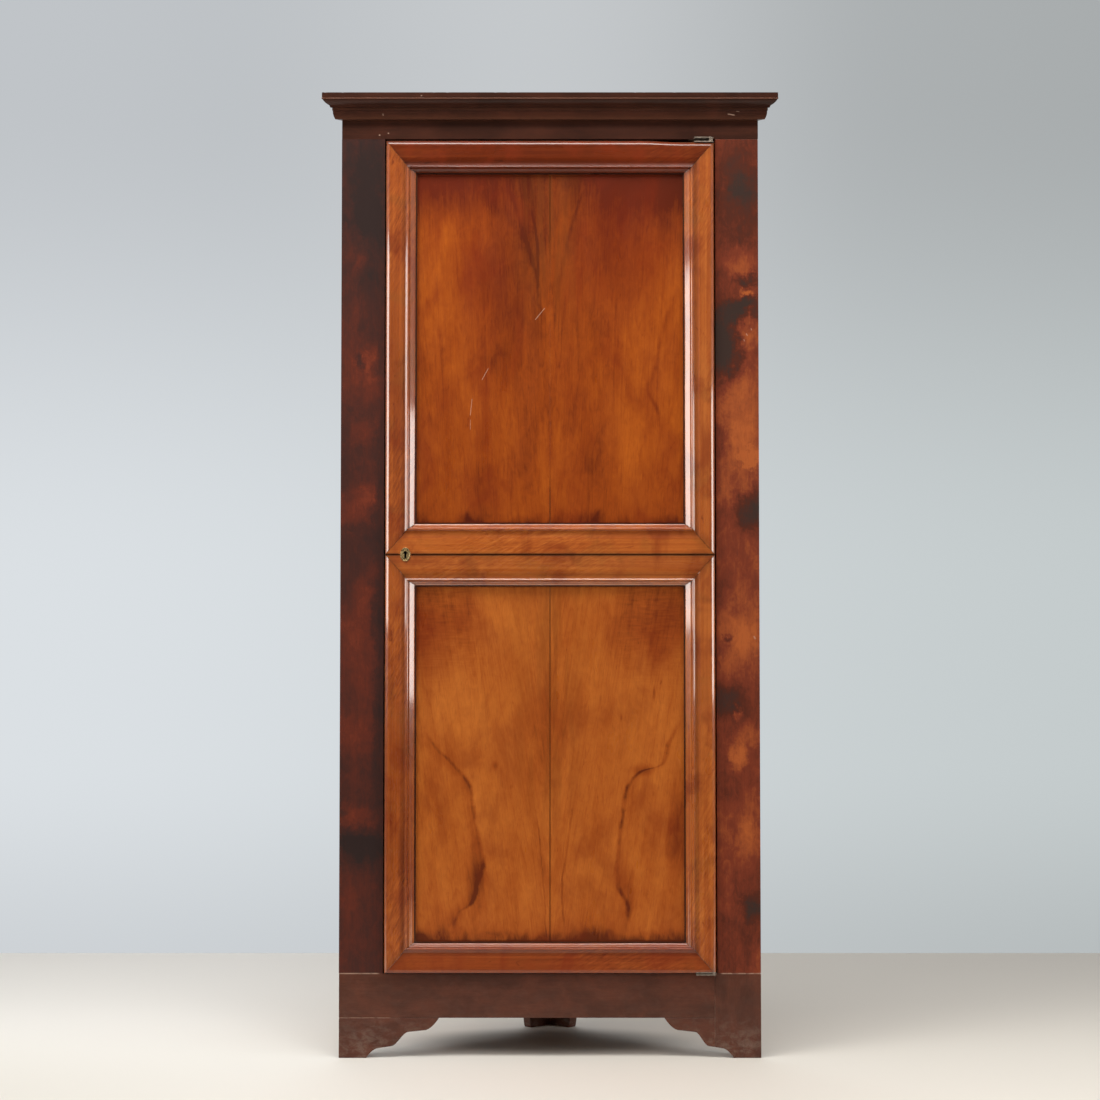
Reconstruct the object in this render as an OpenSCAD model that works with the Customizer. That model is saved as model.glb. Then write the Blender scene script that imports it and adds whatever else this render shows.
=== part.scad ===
// Corner cabinet closed by one tall door of two framed and moulded panels.
// The front looks towards -Y, its two walls meet behind it at a right angle, and Z is up.
// The origin is on the floor, in the middle of the cabinet's overall box.

/* [Body] */
// Width of the front between its outer edges
body_w = 872; // [850:1:900]
// Height from the floor to the top of the cornice
body_h = 2000; // [1960:1:2040]
// Thickness of the stiles and rails of the front
front_t = 25; // [24:0.5:28]
// Width of each stile of the front
stile_w = 90.5; // [86:0.5:98]
// Height of the base rail
base_rail_h = 91; // [85:1:100]
// Height of the frieze and the cornice together
head_h = 90; // [84:1:100]
// Length of the tenons on the ends of the stiles
stile_tenon_l = 40; // [25:1:45]
// Margin from the edges of a stile to the sides of its tenon
stile_tenon_edge = 14; // [10:1:18]
// Thickness of every tenon
tenon_t = 9; // [7:0.5:9.5]
// Margin from a stile's tenon to the mitre along the stile's outer edge
stile_tenon_out = 2; // [1:0.5:4]
// Clearance round a tenon in its mortise
joint_gap = 0.1; // [0.05:0.05:0.3]

/* [Walls] */
// Thickness of the wall boards
wall_t = 18; // [15:0.5:20]
// Number of boards in each wall
wall_board_count = 4; // [3:1:5]
// Open joint between neighbouring boards
board_gap = 0.4; // [0.3:0.1:0.8]
// How far each board's tongue reaches into the next board
tongue_l = 6; // [4:0.5:8]
// Thickness of the tongue
tongue_t = 6; // [4:0.5:7]
// Width of the square post in the back corner
post_w = 32; // [26:1:38]

/* [Top, floor and shelves] */
// Thickness of the boards on top
top_t = 18; // [15:0.5:20]
// Number of boards on top
top_board_count = 3; // [2:1:4]
// Length sawn off the sharp back corner of the top
top_blunt = 4; // [3:1:8]
// Thickness of the shelves and of the floor
shelf_t = 20; // [16:1:24]
// Gap between a shelf and the walls
shelf_gap = 0.3; // [0.2:0.1:0.6]
// Section of the battens that carry the shelves
batten_s = 20; // [16:1:24]
// Distance from the front corner to the start of a batten, along the wall
batten_start = 112; // [108:1:130]
// Gap between the end of a batten and the back post
batten_end_gap = 6; // [4:1:12]
// Width of the strip that the door closes against
stop_w = 28; // [24:1:28]
// Thickness of that strip
stop_t = 20; // [16:1:20]
// How far the strip shows inside the opening
stop_lap = 12; // [9:1:14]
// Gap between the strip and the shelves
stop_room = 1; // [0.5:0.5:2]

/* [Cornice] */
// How far the cornice stands out from the front
cornice_p = 39.5; // [37:0.5:44]
// Height of the cornice
cornice_h = 51; // [48:1:54]
// Height of its lower moulding
bed_h = 22.5; // [20:0.5:25]
// How far the lower moulding stands out
bed_p = 19; // [17:0.5:20]
// How far its lower edge stands out
bed_foot_p = 13; // [11:0.5:15]
// Height of the plain band above the lower moulding's curve
bed_band_h = 5.5; // [4:0.5:7]
// How far the upper moulding's lower edge stands out
crown_foot_p = 22.7; // [21.5:0.1:24]
// How far it stands out at the crease above its cove
crown_neck_p = 26.4; // [25.5:0.1:28]
// Height of the cove
crown_cove_h = 10.5; // [9:0.5:12]
// Height of the flat edge on top
crown_edge_h = 7; // [5:0.5:9]

/* [Feet] */
// Height of the feet
foot_h = 82; // [78:1:90]
// Length of the left front foot along the front
left_bracket_l = 207; // [195:1:220]
// Length of the right front foot along the front
right_bracket_l = 200; // [190:1:215]
// Length of a front foot's sole
sole_l = 57; // [50:1:64]
// Length of the lowest round of a foot's scroll
low_round_l = 25; // [20:1:28]
// Height of that round
low_round_h = 20; // [16:1:24]
// Length of the lower ledge of the scroll
low_ledge_l = 26; // [20:1:30]
// Rise of both ledges over their length
ledge_rise = 4; // [2:0.5:6]
// Length of the upper ledge of the scroll
high_ledge_l = 36; // [30:1:42]
// Length of the uppermost round of the scroll
high_round_l = 27; // [22:1:32]
// Height of that round
high_round_h = 25; // [20:1:28]
// Width of the block that forms the right front corner
corner_block_w = 95.5; // [90:0.5:102]
// Length of each wing of the back foot
wing_w = 90; // [80:1:105]
// Thickness of the back foot's wings
wing_t = 22; // [19:1:26]
// How far the end of a wing curves in at the floor
wing_curve = 10; // [6:1:14]
// Height of that curve
wing_curve_h = 45; // [30:1:60]
// Gap between the glue blocks and the floor
glue_block_lift = 2; // [1:0.5:4]
// Margin between the glue blocks and the walls' outer faces
glue_block_edge = 5; // [3:1:8]

/* [Door] */
// Gap between the door and each stile
side_gap = 3; // [2.5:0.5:4]
// Gap under the door
bottom_gap = 2.5; // [2:0.5:4]
// Gap over the door
top_gap = 6.5; // [5.5:0.5:8]
// Gap between the closed door and the strip behind it
stop_gap = 0.3; // [0.2:0.1:0.6]
// Width of the door's stiles and outer rails, and of each moulding
member_w = 65; // [62:1:70]
// Amount planed off the foot of the door
foot_trim = 3; // [1:0.5:4]
// Width of the rebate that holds the panels
rebate_w = 9; // [7:0.5:10]
// Depth of that rebate from the front
rebate_d = 15; // [14:0.5:16]
// Thickness of the panels
panel_t = 12; // [10:0.5:12.5]
// Room for each panel to swell in its rebate
panel_room = 1; // [0.5:0.5:2]
// Open joint between the two boards of a panel
panel_seam = 0.8; // [0.4:0.2:1.2]
// Length of the tenons of the door's rails
rail_tenon_l = 36; // [26:1:40]
// Distance from the front of the door to its tenons
rail_tenon_in = 4; // [3:0.5:5]
// Distance from the outer edge of a rail to the side of its tenon
rail_tenon_edge = 14; // [13:1:18]
// Distance from a rail's rebate to the side of its tenon
rail_tenon_side = 2; // [1:0.5:4]
// Height left free between the middle rail's two tenons, for the lock
lock_span = 68; // [66:1:74]

/* [Moulding] */
// Height of the moulding's outer edge before its round
edge_h = 5; // [3:0.5:6]
// Radius of the round along the outer edge
edge_r = 9; // [7:0.5:10]
// Distance from the outer edge to the end of the flat
flat_end = 31; // [28:0.5:33]
// Fall of the flat towards the panel
flat_fall = 1; // [0.5:0.25:1.5]
// Distance from the outer edge to the middle of the bead
bead_at = 45.5; // [44:0.5:47]
// Radius of the bead
bead_r = 2.6; // [2:0.1:3.2]
// Height of the bead's centre over the door frame
bead_h = 12.2; // [11.5:0.1:12.6]
// Depth of the hollow beside the bead below the bead's centre
hollow_d = 1; // [0.5:0.25:1.5]
// Distance from the bead to the deepest line of that hollow
hollow_w = 4; // [3.5:0.5:5]
// Distance from the panel's edge to the foot of the inner curve
curve_foot = 5; // [4:0.5:6]
// Height of the small step at the foot of the inner curve
step_h = 4; // [3:0.5:5]
// Height of the inner edge
inner_h = 2.5; // [1.5:0.5:3]
// Width of the inner edge
inner_w = 3; // [2:0.5:3.5]
// Gap between the moulding's lip and the panel
lip_gap = 0.1; // [0.05:0.05:0.3]
// Gap between the lip's edge and the rebate
lip_side = 0.3; // [0.1:0.1:0.6]

/* [Hinges] */
// Distance from the front of the stiles out to the hinge axis
hinge_out = 8; // [7:0.5:9]
// Radius of the hinge pins
pin_r = 2.5; // [2:0.1:3]
// Clearance round the hinge pins
pin_fit = 0.05; // [0.02:0.01:0.1]
// Radius of the collars round the pins
collar_r = 4.5; // [4:0.1:5]
// Gap between the two collars of a hinge
collar_gap = 0.3; // [0.2:0.1:0.5]
// Radius of the rounded end of a leaf
eye_r = 6; // [5.5:0.1:6.5]
// Length of a leaf
leaf_l = 52; // [48:1:53]
// Width of the part of a leaf that is let into the wood
leaf_w = 14; // [12:1:15]
// Thickness of a leaf
leaf_t = 2; // [1.5:0.5:2.5]
// Length of the arm that carries the pin
arm_l = 35; // [30:1:38]
// Distance from the front of the stiles to the let-in part of a leaf
leaf_in = 2; // [1.5:0.5:3]
// Distance from a leaf's left end to its nearer screw
leaf_screw_left = 8; // [6:1:12]
// Distance from a leaf's rounded end to its nearer screw
leaf_screw_right = 14; // [12:1:16]
// Clearance round a leaf in its recess
leaf_fit = 0.1; // [0.05:0.05:0.2]

/* [Lock] */
// Distance from the door's edge to the key
backset = 42.5; // [42:0.5:44]
// Width of the lock's case
case_w = 54; // [52:0.5:54.5]
// Height of the case below the key
case_down = 26; // [22:1:28]
// Height of the case above the key
case_up = 32; // [31:1:34]
// Distance from the front of the stiles to the lock's cap
cap_in = 11; // [10.5:0.1:11.4]
// Thickness of the lock's plates
plate_t = 1.5; // [1.2:0.1:1.6]
// Thickness of the lock's edge plate and back plate
lock_plate_t = 2; // [1.6:0.1:2.2]
// How far the edge plate runs on above and below the case
edge_plate_over = 10; // [9:1:13]
// Width of the edge plate
edge_plate_w = 15; // [14:0.5:16]
// Distance from the front of the stiles to the bolt
bolt_in = 14; // [13.5:0.5:14.5]
// Height of the bolt
bolt_h = 14; // [12:0.5:14]
// Thickness of the bolt
bolt_t = 7; // [6:0.5:7.5]
// Height of the bolt's lower side above the key
bolt_up = 10; // [9:0.5:10.5]
// Length of the bolt
bolt_l = 51; // [50:0.5:51.5]
// Travel of the bolt
bolt_throw = 10; // [8:0.5:11]
// Width of the notch that the key throws
notch_w = 7; // [6:0.5:9]
// Height of that notch
notch_h = 5; // [4:0.5:5.5]
// How far the bolt's end lies below the edge plate when it is drawn back
bolt_sink = 0.5; // [0.2:0.1:0.8]
// Clearance round the bolt in the edge plate
bolt_fit = 0.06; // [0.03:0.01:0.1]
// Clearance round the bolt in the keep
keep_fit = 0.6; // [0.4:0.1:1]
// Depth of the bolt's mortise in the stile
keep_depth = 13; // [12.5:0.5:16]
// How far the keep reaches past its slot above and below
keep_over = 8; // [7:1:11]
// Margin of the keep in front of its slot
keep_edge = 3; // [2:0.5:4]
// Margin between the keep and the back of the stile
keep_back = 0.5; // [0.5:0.5:1.5]
// Distance from the bolt's end to the lock's guide post
guide_at = 18; // [16:1:20]
// Radius of the guide post
post_r = 2; // [1.6:0.1:2.2]
// Radius of the pin for the pipe key
key_pin_r = 1.5; // [1.2:0.1:1.8]
// Gap between that pin's end and the cap
key_pin_gap = 0.5; // [0.3:0.1:1]
// Thickness of the bolt's leaf spring
spring_t = 0.8; // [0.6:0.1:1]
// Width of the spring
spring_w = 5; // [4:0.5:6]
// Gap between the spring's back and the case
spring_gap = 0.3; // [0.2:0.1:0.5]
// Length of the spring's flat foot
spring_foot_l = 6; // [5:0.5:8]
// Length of its bowed part
spring_span = 26; // [22:1:28]

/* [Keyhole] */
// Width of the oval escutcheon
escutcheon_w = 21; // [19:0.5:23]
// Height of the oval escutcheon
escutcheon_h = 29; // [27:0.5:31]
// Width of its raised rim
rim_w = 2.4; // [2:0.1:3]
// Height of the raised rim
rim_h = 1; // [0.6:0.1:1.4]
// How far the escutcheon's plate stands in front of the stiles
escutcheon_out = 15; // [14.5:0.1:16]
// Distance from the front of the stiles to its back
escutcheon_back = 4; // [3:0.5:4.5]
// Radius of the round part of the keyhole
key_r = 4.2; // [3.6:0.1:4.6]
// Width of the slot of the keyhole
key_slot_w = 5; // [4.8:0.1:5.4]
// Height of the keyhole's round part above the middle of the door
key_rise = 4; // [3:0.5:5]
// Length of the slot below the round part
key_slot_l = 13; // [11:0.5:13.5]

/* [Screws] */
// Radius of a screw's shank
screw_r = 1.8; // [1.5:0.1:2]
// Radius of a screw's head
screw_head_r = 3.6; // [3.2:0.1:3.8]
// Length of the hinge screws
screw_l = 12; // [9:0.5:12]
// Length of the lock's screws
lock_screw_l = 14; // [10:1:18]
// Clearance round a screw
screw_fit = 0.05; // [0.03:0.01:0.1]

/* [Hidden] */
$fn = 48;

// How far a cutting shape runs past the surface that it cuts
past = 1;

// Where the front lies, and the heights of its rails
half_w = body_w / 2;
face_y = -(half_w - cornice_p) / 2;
base_top = foot_h + base_rail_h;
frieze_z = body_h - head_h;
top_z = body_h - top_t;
cornice_z = body_h - cornice_h;
opening_x = half_w - stile_w;
block_x = half_w - corner_block_w;

// The walls, measured along their outer faces from the front corner
wall_l = half_w * sqrt(2);
wall_front = front_t * sqrt(2);
wall_inset = wall_t * sqrt(2);
post_back = wall_l - wall_t;
post_front = post_back - post_w;

// The shelves, by their distance behind the front
shelf_front = front_t + stop_t + stop_room;
shelf_back = (wall_l - 2 * (wall_t + post_w)) / sqrt(2) - shelf_gap;
shelf_count = 3;
shelf_pitch = (top_z - base_top + shelf_t) / (shelf_count + 1);
function shelf_z(i) = base_top - shelf_t + i * shelf_pitch;

// The door, its two frames and their sight lines
door_x = opening_x - side_gap;
door_z0 = base_top + bottom_gap;
door_z1 = frieze_z - top_gap;
door_t = front_t - stop_gap;
sight_x = door_x - member_w;
sight_h = (door_z1 - door_z0 + foot_trim - 4 * member_w) / 2;
lower_z0 = door_z0 - foot_trim;
seam_z = lower_z0 + sight_h + 2 * member_w;
lower_sight = [lower_z0 + member_w, seam_z - member_w];
upper_sight = [seam_z + member_w, door_z1 - member_w];
panel_front = rebate_d - panel_t;
shoulder_x = sight_x + rebate_w;

// The lower and upper end of each rail's tenons, up the door
rail_tenon_zs = [
    [door_z0 + rail_tenon_edge, lower_sight[0] - rebate_w - rail_tenon_side],
    [lower_sight[1] + rebate_w + rail_tenon_side, seam_z - lock_span / 2],
    [seam_z + lock_span / 2, upper_sight[0] - rebate_w - rail_tenon_side],
    [upper_sight[1] + rebate_w + rail_tenon_side, door_z1 - rail_tenon_edge]
];

// The hinges, whose leaves end level with the door's edge
hinge_x = door_x - eye_r;
hinge_y = face_y - hinge_out;
leaf_screw_xs = [door_x - leaf_l + leaf_screw_left, door_x - leaf_screw_right];
leaf_screw_y = face_y + leaf_in + leaf_w / 2;

// The lock
key_x = -door_x + backset;
key_z = seam_z;
case_x1 = -door_x + case_w;
case_z0 = key_z - case_down;
case_z1 = key_z + case_up;
cap_y = face_y + cap_in;
case_y = cap_y + plate_t;
door_back_y = face_y + door_t;
bolt_y = face_y + bolt_in;
bolt_z = key_z + bolt_up;
bolt_x = -door_x + bolt_sink;
edge_plate_y = door_back_y - edge_plate_w;
guide_x = bolt_x + guide_at;
guide_z = bolt_z + bolt_h / 2;
keep_z0 = bolt_z - keep_fit - keep_over;
keep_z1 = bolt_z + bolt_h + keep_fit + keep_over;
keep_y0 = bolt_y - keep_fit - keep_edge;
keep_y1 = face_y + front_t - keep_back;
lock_screw_y = edge_plate_y + edge_plate_w / 2;
lock_screw_zs = [case_z0 - edge_plate_over / 2, case_z1 + edge_plate_over / 2];
keep_screw_zs = [keep_z0 + keep_over / 2, keep_z1 - keep_over / 2];
keep_screw_y = bolt_y + bolt_t / 2;

stile_dark = [0.25, 0.14, 0.11];
rail_dark = [0.28, 0.16, 0.12];
base_brown = [0.33, 0.2, 0.15];
moulding_brown = [0.62, 0.32, 0.15];
panel_brown = [0.6, 0.27, 0.09];
pine = [0.6, 0.45, 0.3];
steel = [0.45, 0.43, 0.4];
brass = [0.68, 0.53, 0.28];

// Points on an arc about a centre, from one angle to another
function arc(c, r, a0, a1, n) =
    [for (i = [0:n]) c + r * [cos(a0 + (a1 - a0) * i / n), sin(a0 + (a1 - a0) * i / n)]];

// Points on a curve that leaves p and reaches q level with the first axis
function ogee(p, q, n) =
    [for (i = [0:n]) let (t = i / n) [p.x + (q.x - p.x) * t, p.y + (q.y - p.y) * t * t * (3 - 2 * t)]];

// Points on a curve from p to q that is pulled towards k
function bend(p, k, q, n) =
    [for (i = [0:n]) let (t = i / n) (1 - t) * (1 - t) * p + 2 * t * (1 - t) * k + t * t * q];

// Points on an upright ellipse
function ellipse(w, h, n) =
    [for (i = [0:n - 1]) [w / 2 * cos(360 * i / n), h / 2 * sin(360 * i / n)]];

// A box between two corners
module block(lo, hi) {
    translate(lo) cube(hi - lo);
}

// Stands a shape that is drawn in X and Z on the plane at y, with its thickness behind it
module upright(y, t) {
    translate([0, y + t, 0]) rotate([90, 0, 0]) linear_extrude(height = t) children();
}

// Draws a profile of Y and Z along X
module along_x(x0, x1) {
    translate([x0, 0, 0]) rotate([90, 0, 90]) linear_extrude(height = x1 - x0) children();
}

// Places a shape on a wall: X runs from the front corner to the back, and -Y points inside
module on_wall(side) {
    mirror([side > 0 ? 1 : 0, 0, 0])
        translate([-half_w, face_y, 0]) rotate(45) children();
}

// A level slab of the cabinet's plan between two distances behind the front
module plan_slab(d0, d1, inset, z, t) {
    w0 = half_w - d0 - inset;
    w1 = half_w - d1 - inset;
    translate([0, 0, z]) linear_extrude(height = t)
        polygon([[-w0, face_y + d0], [w0, face_y + d0], [w1, face_y + d1], [-w1, face_y + d1]]);
}

// The tenon of a front stile, and the mortise for it with a clearance
module stile_tenons(side, c) {
    x0 = side < 0 ? -half_w + front_t + stile_tenon_out : opening_x + stile_tenon_edge;
    x1 = side < 0 ? -opening_x - stile_tenon_edge : half_w - front_t - stile_tenon_out;
    y0 = face_y + (front_t - tenon_t) / 2;
    block([x0 - c, y0 - c, base_top - stile_tenon_l - c],
          [x1 + c, y0 + tenon_t + c, frieze_z + stile_tenon_l + c]);
}

// A stile of the front, mitred to the wall along its outer edge
module front_stile(side) {
    mirror([side > 0 ? 1 : 0, 0, 0]) translate([0, 0, base_top])
        linear_extrude(height = frieze_z - base_top)
        polygon([[-half_w, face_y], [-opening_x, face_y], [-opening_x, face_y + front_t],
                 [-half_w + front_t, face_y + front_t]]);
    stile_tenons(side, 0);
}

module left_stile() {
    color(stile_dark) difference() {
        front_stile(-1);
        keep_recess();
        keep_screw_set(screw_fit);
    }
}

module right_stile() {
    color(stile_dark) front_stile(1);
}

module frieze_rail() {
    color(rail_dark) difference() {
        plan_slab(0, front_t, 0, frieze_z, top_z - frieze_z);
        stile_tenons(-1, joint_gap);
        stile_tenons(1, joint_gap);
        leaf_recess(frieze_z - past, leaf_t + past);
        top_frame_screws(screw_fit);
    }
}

module base_rail() {
    color(base_brown) difference() {
        plan_slab(0, front_t, 0, foot_h, base_rail_h);
        block([block_x, face_y - past, 0], [half_w + past, face_y + front_t + past, base_top + past]);
        stile_tenons(-1, joint_gap);
        leaf_recess(base_top - leaf_t, leaf_t + past);
        bottom_frame_screws(screw_fit);
    }
}

// The outline of a foot's scroll, from the sole up to the base rail
function scroll(l) =
    let (a = [sole_l + low_round_l, low_round_h],
         b = a + [low_ledge_l, ledge_rise],
         d = [l - high_round_l, foot_h - high_round_h],
         c = d - [high_ledge_l, ledge_rise])
    concat(bend([sole_l, 0], [sole_l + low_round_l / 2, a.y - ledge_rise / 4], a, 6),
           ogee(b, c, 8),
           bend(d, [d.x + high_round_l / 2, d.y + ledge_rise], [l, foot_h], 6));

// The space under a foot's scroll, measured from the left front corner
module scroll_void(side, l) {
    mirror([side > 0 ? 1 : 0, 0, 0]) translate([-half_w, 0, 0])
        upright(face_y - past, front_t + 2 * past)
        polygon(concat([[sole_l, -past]], scroll(l), [[l + past, foot_h], [l + past, -past]]));
}

module right_corner_block() {
    color(base_brown) difference() {
        plan_slab(0, front_t, 0, 0, base_top);
        block([-half_w - past, face_y - past, -past], [block_x, face_y + front_t + past, base_top + past]);
        scroll_void(1, right_bracket_l);
        stile_tenons(1, joint_gap);
        leaf_recess(base_top - leaf_t, leaf_t + past);
    }
}

module left_foot_bracket() {
    color(base_brown) difference() {
        plan_slab(0, front_t, 0, 0, foot_h);
        block([-half_w + left_bracket_l, face_y - past, -past],
              [half_w + past, face_y + front_t + past, foot_h + past]);
        scroll_void(-1, left_bracket_l);
    }
}

module right_foot_bracket() {
    color(base_brown) difference() {
        block([half_w - right_bracket_l, face_y, 0], [block_x, face_y + front_t, foot_h]);
        scroll_void(1, right_bracket_l);
    }
}

// A glue block in the corner behind a front foot
module foot_glue_block(side) {
    mirror([side > 0 ? 1 : 0, 0, 0])
        translate([0, 0, glue_block_lift]) linear_extrude(height = foot_h - glue_block_lift)
        polygon([[-half_w + front_t + glue_block_edge, face_y + front_t],
                 [-half_w + sole_l, face_y + front_t],
                 [-half_w + sole_l, face_y + sole_l - glue_block_edge]]);
}

module foot_glue_blocks() {
    color(pine) {
        foot_glue_block(-1);
        foot_glue_block(1);
    }
}

// A wing of the back foot, which ends at the given distance along its wall
module back_foot_wing(side, end) {
    start = wall_l - wing_w;
    on_wall(side) upright(-wing_t, wing_t)
        polygon(concat(ogee([start + wing_curve, 0], [start, wing_curve_h], 6),
                       [[start, foot_h], [end, foot_h], [end, 0]]));
}

module back_foot_left_wing() {
    color(base_brown) back_foot_wing(-1, wall_l);
}

module back_foot_right_wing() {
    color(base_brown) back_foot_wing(1, wall_l - wing_t);
}

// The edge of a wall board that takes its neighbour's tongue
function groove_edge(u) =
    let (y0 = -(wall_t - tongue_t) / 2, y1 = -(wall_t + tongue_t) / 2)
    [[u, -wall_t], [u, y1], [u + tongue_l, y1], [u + tongue_l, y0], [u, y0], [u, 0]];

// The edge of a wall board that carries the tongue
function tongue_edge(u) =
    let (y0 = -(wall_t - tongue_t) / 2 - board_gap / 2, y1 = -(wall_t + tongue_t) / 2 + board_gap / 2,
         v = u - board_gap)
    [[v, 0], [v, y0], [v + tongue_l, y0], [v + tongue_l, y1], [v, y1], [v, -wall_t]];

// The boards of one wall, up to the given distance along it
module wall_boards(side, end) {
    pitch = (end - wall_front) / wall_board_count;
    last = wall_board_count - 1;
    on_wall(side) translate([0, 0, foot_h]) for (i = [0:last]) {
        u0 = wall_front + i * pitch;
        front_edge = i == 0 ? [[wall_front + wall_t, -wall_t], [wall_front, 0]] : groove_edge(u0);
        back_edge = i == last ? [[end, 0], [end, -wall_t]] : tongue_edge(u0 + pitch);
        linear_extrude(height = top_z - foot_h) polygon(concat(front_edge, back_edge));
    }
}

module left_wall_boards() {
    color(pine) wall_boards(-1, wall_l);
}

module right_wall_boards() {
    color(pine) wall_boards(1, wall_l - wall_t);
}

module back_post() {
    color(pine) on_wall(-1)
        block([post_front, -wall_t - post_w, foot_h], [post_back, -wall_t, top_z]);
}

module top_boards() {
    pitch = (half_w - top_blunt) / top_board_count;
    color(pine) for (i = [0:top_board_count - 1])
        plan_slab(i * pitch, (i + 1) * pitch - board_gap, 0, top_z, top_t);
}

module floor_board() {
    color(pine) plan_slab(front_t, shelf_back, wall_inset + shelf_gap, shelf_z(0), shelf_t);
}

// A shelf that lies behind the door's stop
module shelf(i) {
    plan_slab(shelf_front, shelf_back, wall_inset + shelf_gap, shelf_z(i), shelf_t);
}

module lower_shelf() {
    color(pine) shelf(1);
}

module middle_shelf() {
    color(pine) shelf(2);
}

module upper_shelf() {
    color(pine) shelf(3);
}

// The battens under the floor and the shelves, along one wall
module battens(side) {
    on_wall(side) for (i = [0:shelf_count])
        block([batten_start, -wall_t - batten_s, shelf_z(i) - batten_s],
              [post_front - batten_end_gap, -wall_t, shelf_z(i)]);
}

module left_battens() {
    color(pine) battens(-1);
}

module right_battens() {
    color(pine) battens(1);
}

// A moulding of the cornice: a profile of projection and height, cut flush with the walls
module cornice_strip(profile, z0, z1) {
    intersection() {
        along_x(-half_w - cornice_p, half_w + cornice_p)
            polygon([for (p = profile) [face_y - p.x, p.y]]);
        plan_slab(-cornice_p - past, 0, 0, z0, z1 - z0);
    }
}

module cornice_crown() {
    z0 = cornice_z + bed_h;
    neck = [crown_neck_p, z0 + crown_cove_h];
    edge = [cornice_p, body_h - crown_edge_h];
    color(rail_dark) cornice_strip(concat(
        [[0, z0]],
        bend([crown_foot_p, z0],
             [crown_foot_p + (crown_neck_p - crown_foot_p) / 6, z0 + crown_cove_h * 0.6], neck, 5),
        bend(neck, [neck.x + (edge.x - neck.x) * 0.7, neck.y + (edge.y - neck.y) * 0.3], edge, 6),
        [[cornice_p, body_h], [0, body_h]]), z0, body_h);
}

module cornice_bed() {
    z1 = cornice_z + bed_h;
    band = [bed_p, z1 - bed_band_h];
    color(rail_dark) cornice_strip(concat(
        [[0, cornice_z]],
        bend([bed_foot_p, cornice_z],
             [bed_p - (bed_p - bed_foot_p) / 6, cornice_z + (band.y - cornice_z) * 0.45], band, 6),
        [[bed_p, z1], [0, z1]]), cornice_z, z1);
}

module door_stop() {
    x1 = -opening_x + stop_lap;
    color(pine) block([x1 - stop_w, face_y + front_t, base_top],
                      [x1, face_y + front_t + stop_t, frieze_z]);
}

// A stile of the door, with the front rebate for the panels and the mortises of the rails
module door_stile(side) {
    mirror([side > 0 ? 1 : 0, 0, 0]) difference() {
        block([-door_x, face_y, door_z0], [-sight_x, door_back_y, door_z1]);
        block([-shoulder_x, face_y - past, door_z0 - past],
              [-sight_x + past, face_y + rebate_d, door_z1 + past]);
        for (z = rail_tenon_zs)
            rail_tenon(z, joint_gap);
    }
}

// A left tenon between two heights, grown by a clearance
module rail_tenon(z, c) {
    y0 = face_y + rail_tenon_in;
    block([-shoulder_x - rail_tenon_l - c, y0 - c, z[0] - c],
          [-shoulder_x + past, y0 + tenon_t + c, z[1] + c]);
}

// A rail of the door between two heights; low and high are the rebates along its edges
module door_rail(z, low, high, tenons) {
    block([-shoulder_x, face_y, z[0] + low], [shoulder_x, face_y + rebate_d, z[1] - high]);
    block([-sight_x, face_y + rebate_d, z[0]], [sight_x, door_back_y, z[1]]);
    for (m = [0, 1]) mirror([m, 0, 0]) for (t = tenons)
        rail_tenon(t, 0);
}

module door_lock_stile() {
    color(moulding_brown) difference() {
        door_stile(-1);
        lock_recess();
        keyhole(joint_gap);
        lock_screw_set(screw_fit);
    }
}

module door_hinge_stile() {
    color(moulding_brown) difference() {
        door_stile(1);
        door_leaf_recesses();
        door_leaf_screw_set(screw_fit);
    }
}

module door_top_rail() {
    color(moulding_brown) door_rail([upper_sight[1], door_z1], rebate_w, 0, [rail_tenon_zs[3]]);
}

module door_middle_rail() {
    color(moulding_brown) door_rail([lower_sight[1], upper_sight[0]], rebate_w, rebate_w,
                                    [rail_tenon_zs[1], rail_tenon_zs[2]]);
}

module door_bottom_rail() {
    color(moulding_brown) door_rail([door_z0, lower_sight[0]], 0, rebate_w, [rail_tenon_zs[0]]);
}

// One board of a panel; side says on which side of the seam it lies
module panel_board(side, sight) {
    over = rebate_w - panel_room;
    mirror([side > 0 ? 1 : 0, 0, 0])
        block([-sight_x - over, face_y + panel_front, sight[0] - over],
              [-panel_seam / 2, face_y + rebate_d, sight[1] + over]);
}

module upper_left_panel() {
    color(panel_brown) panel_board(-1, upper_sight);
}

module upper_right_panel() {
    color(panel_brown) panel_board(1, upper_sight);
}

module lower_left_panel() {
    color(panel_brown) panel_board(-1, lower_sight);
}

module lower_right_panel() {
    color(panel_brown) panel_board(1, lower_sight);
}

// The door moulding's section: distance from the outer edge, and height over the door frame
function moulding_section() =
    let (w = member_w,
         top = edge_h + edge_r,
         lip = rebate_w - lip_side,
         hollow = [bead_at - bead_r - hollow_w, bead_h - hollow_d],
         foot = [w - curve_foot, step_h])
    concat(
        [[0, 0]],
        arc([edge_r, edge_h], edge_r, 180, 90, 9),
        bend([flat_end, top - flat_fall], [hollow.x - 0.75 * hollow_w, hollow.y], hollow, 5),
        arc([bead_at, bead_h], bead_r, 180, 20, 8),
        ogee([bead_at + 1.2 * bead_r, bead_h - 0.6 * bead_r], foot, 8),
        [[w - inner_w, step_h], [w - inner_w, inner_h], [w, inner_h],
         [w, -panel_front + lip_gap], [w - lip, -panel_front + lip_gap], [w - lip, 0]]);

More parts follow.
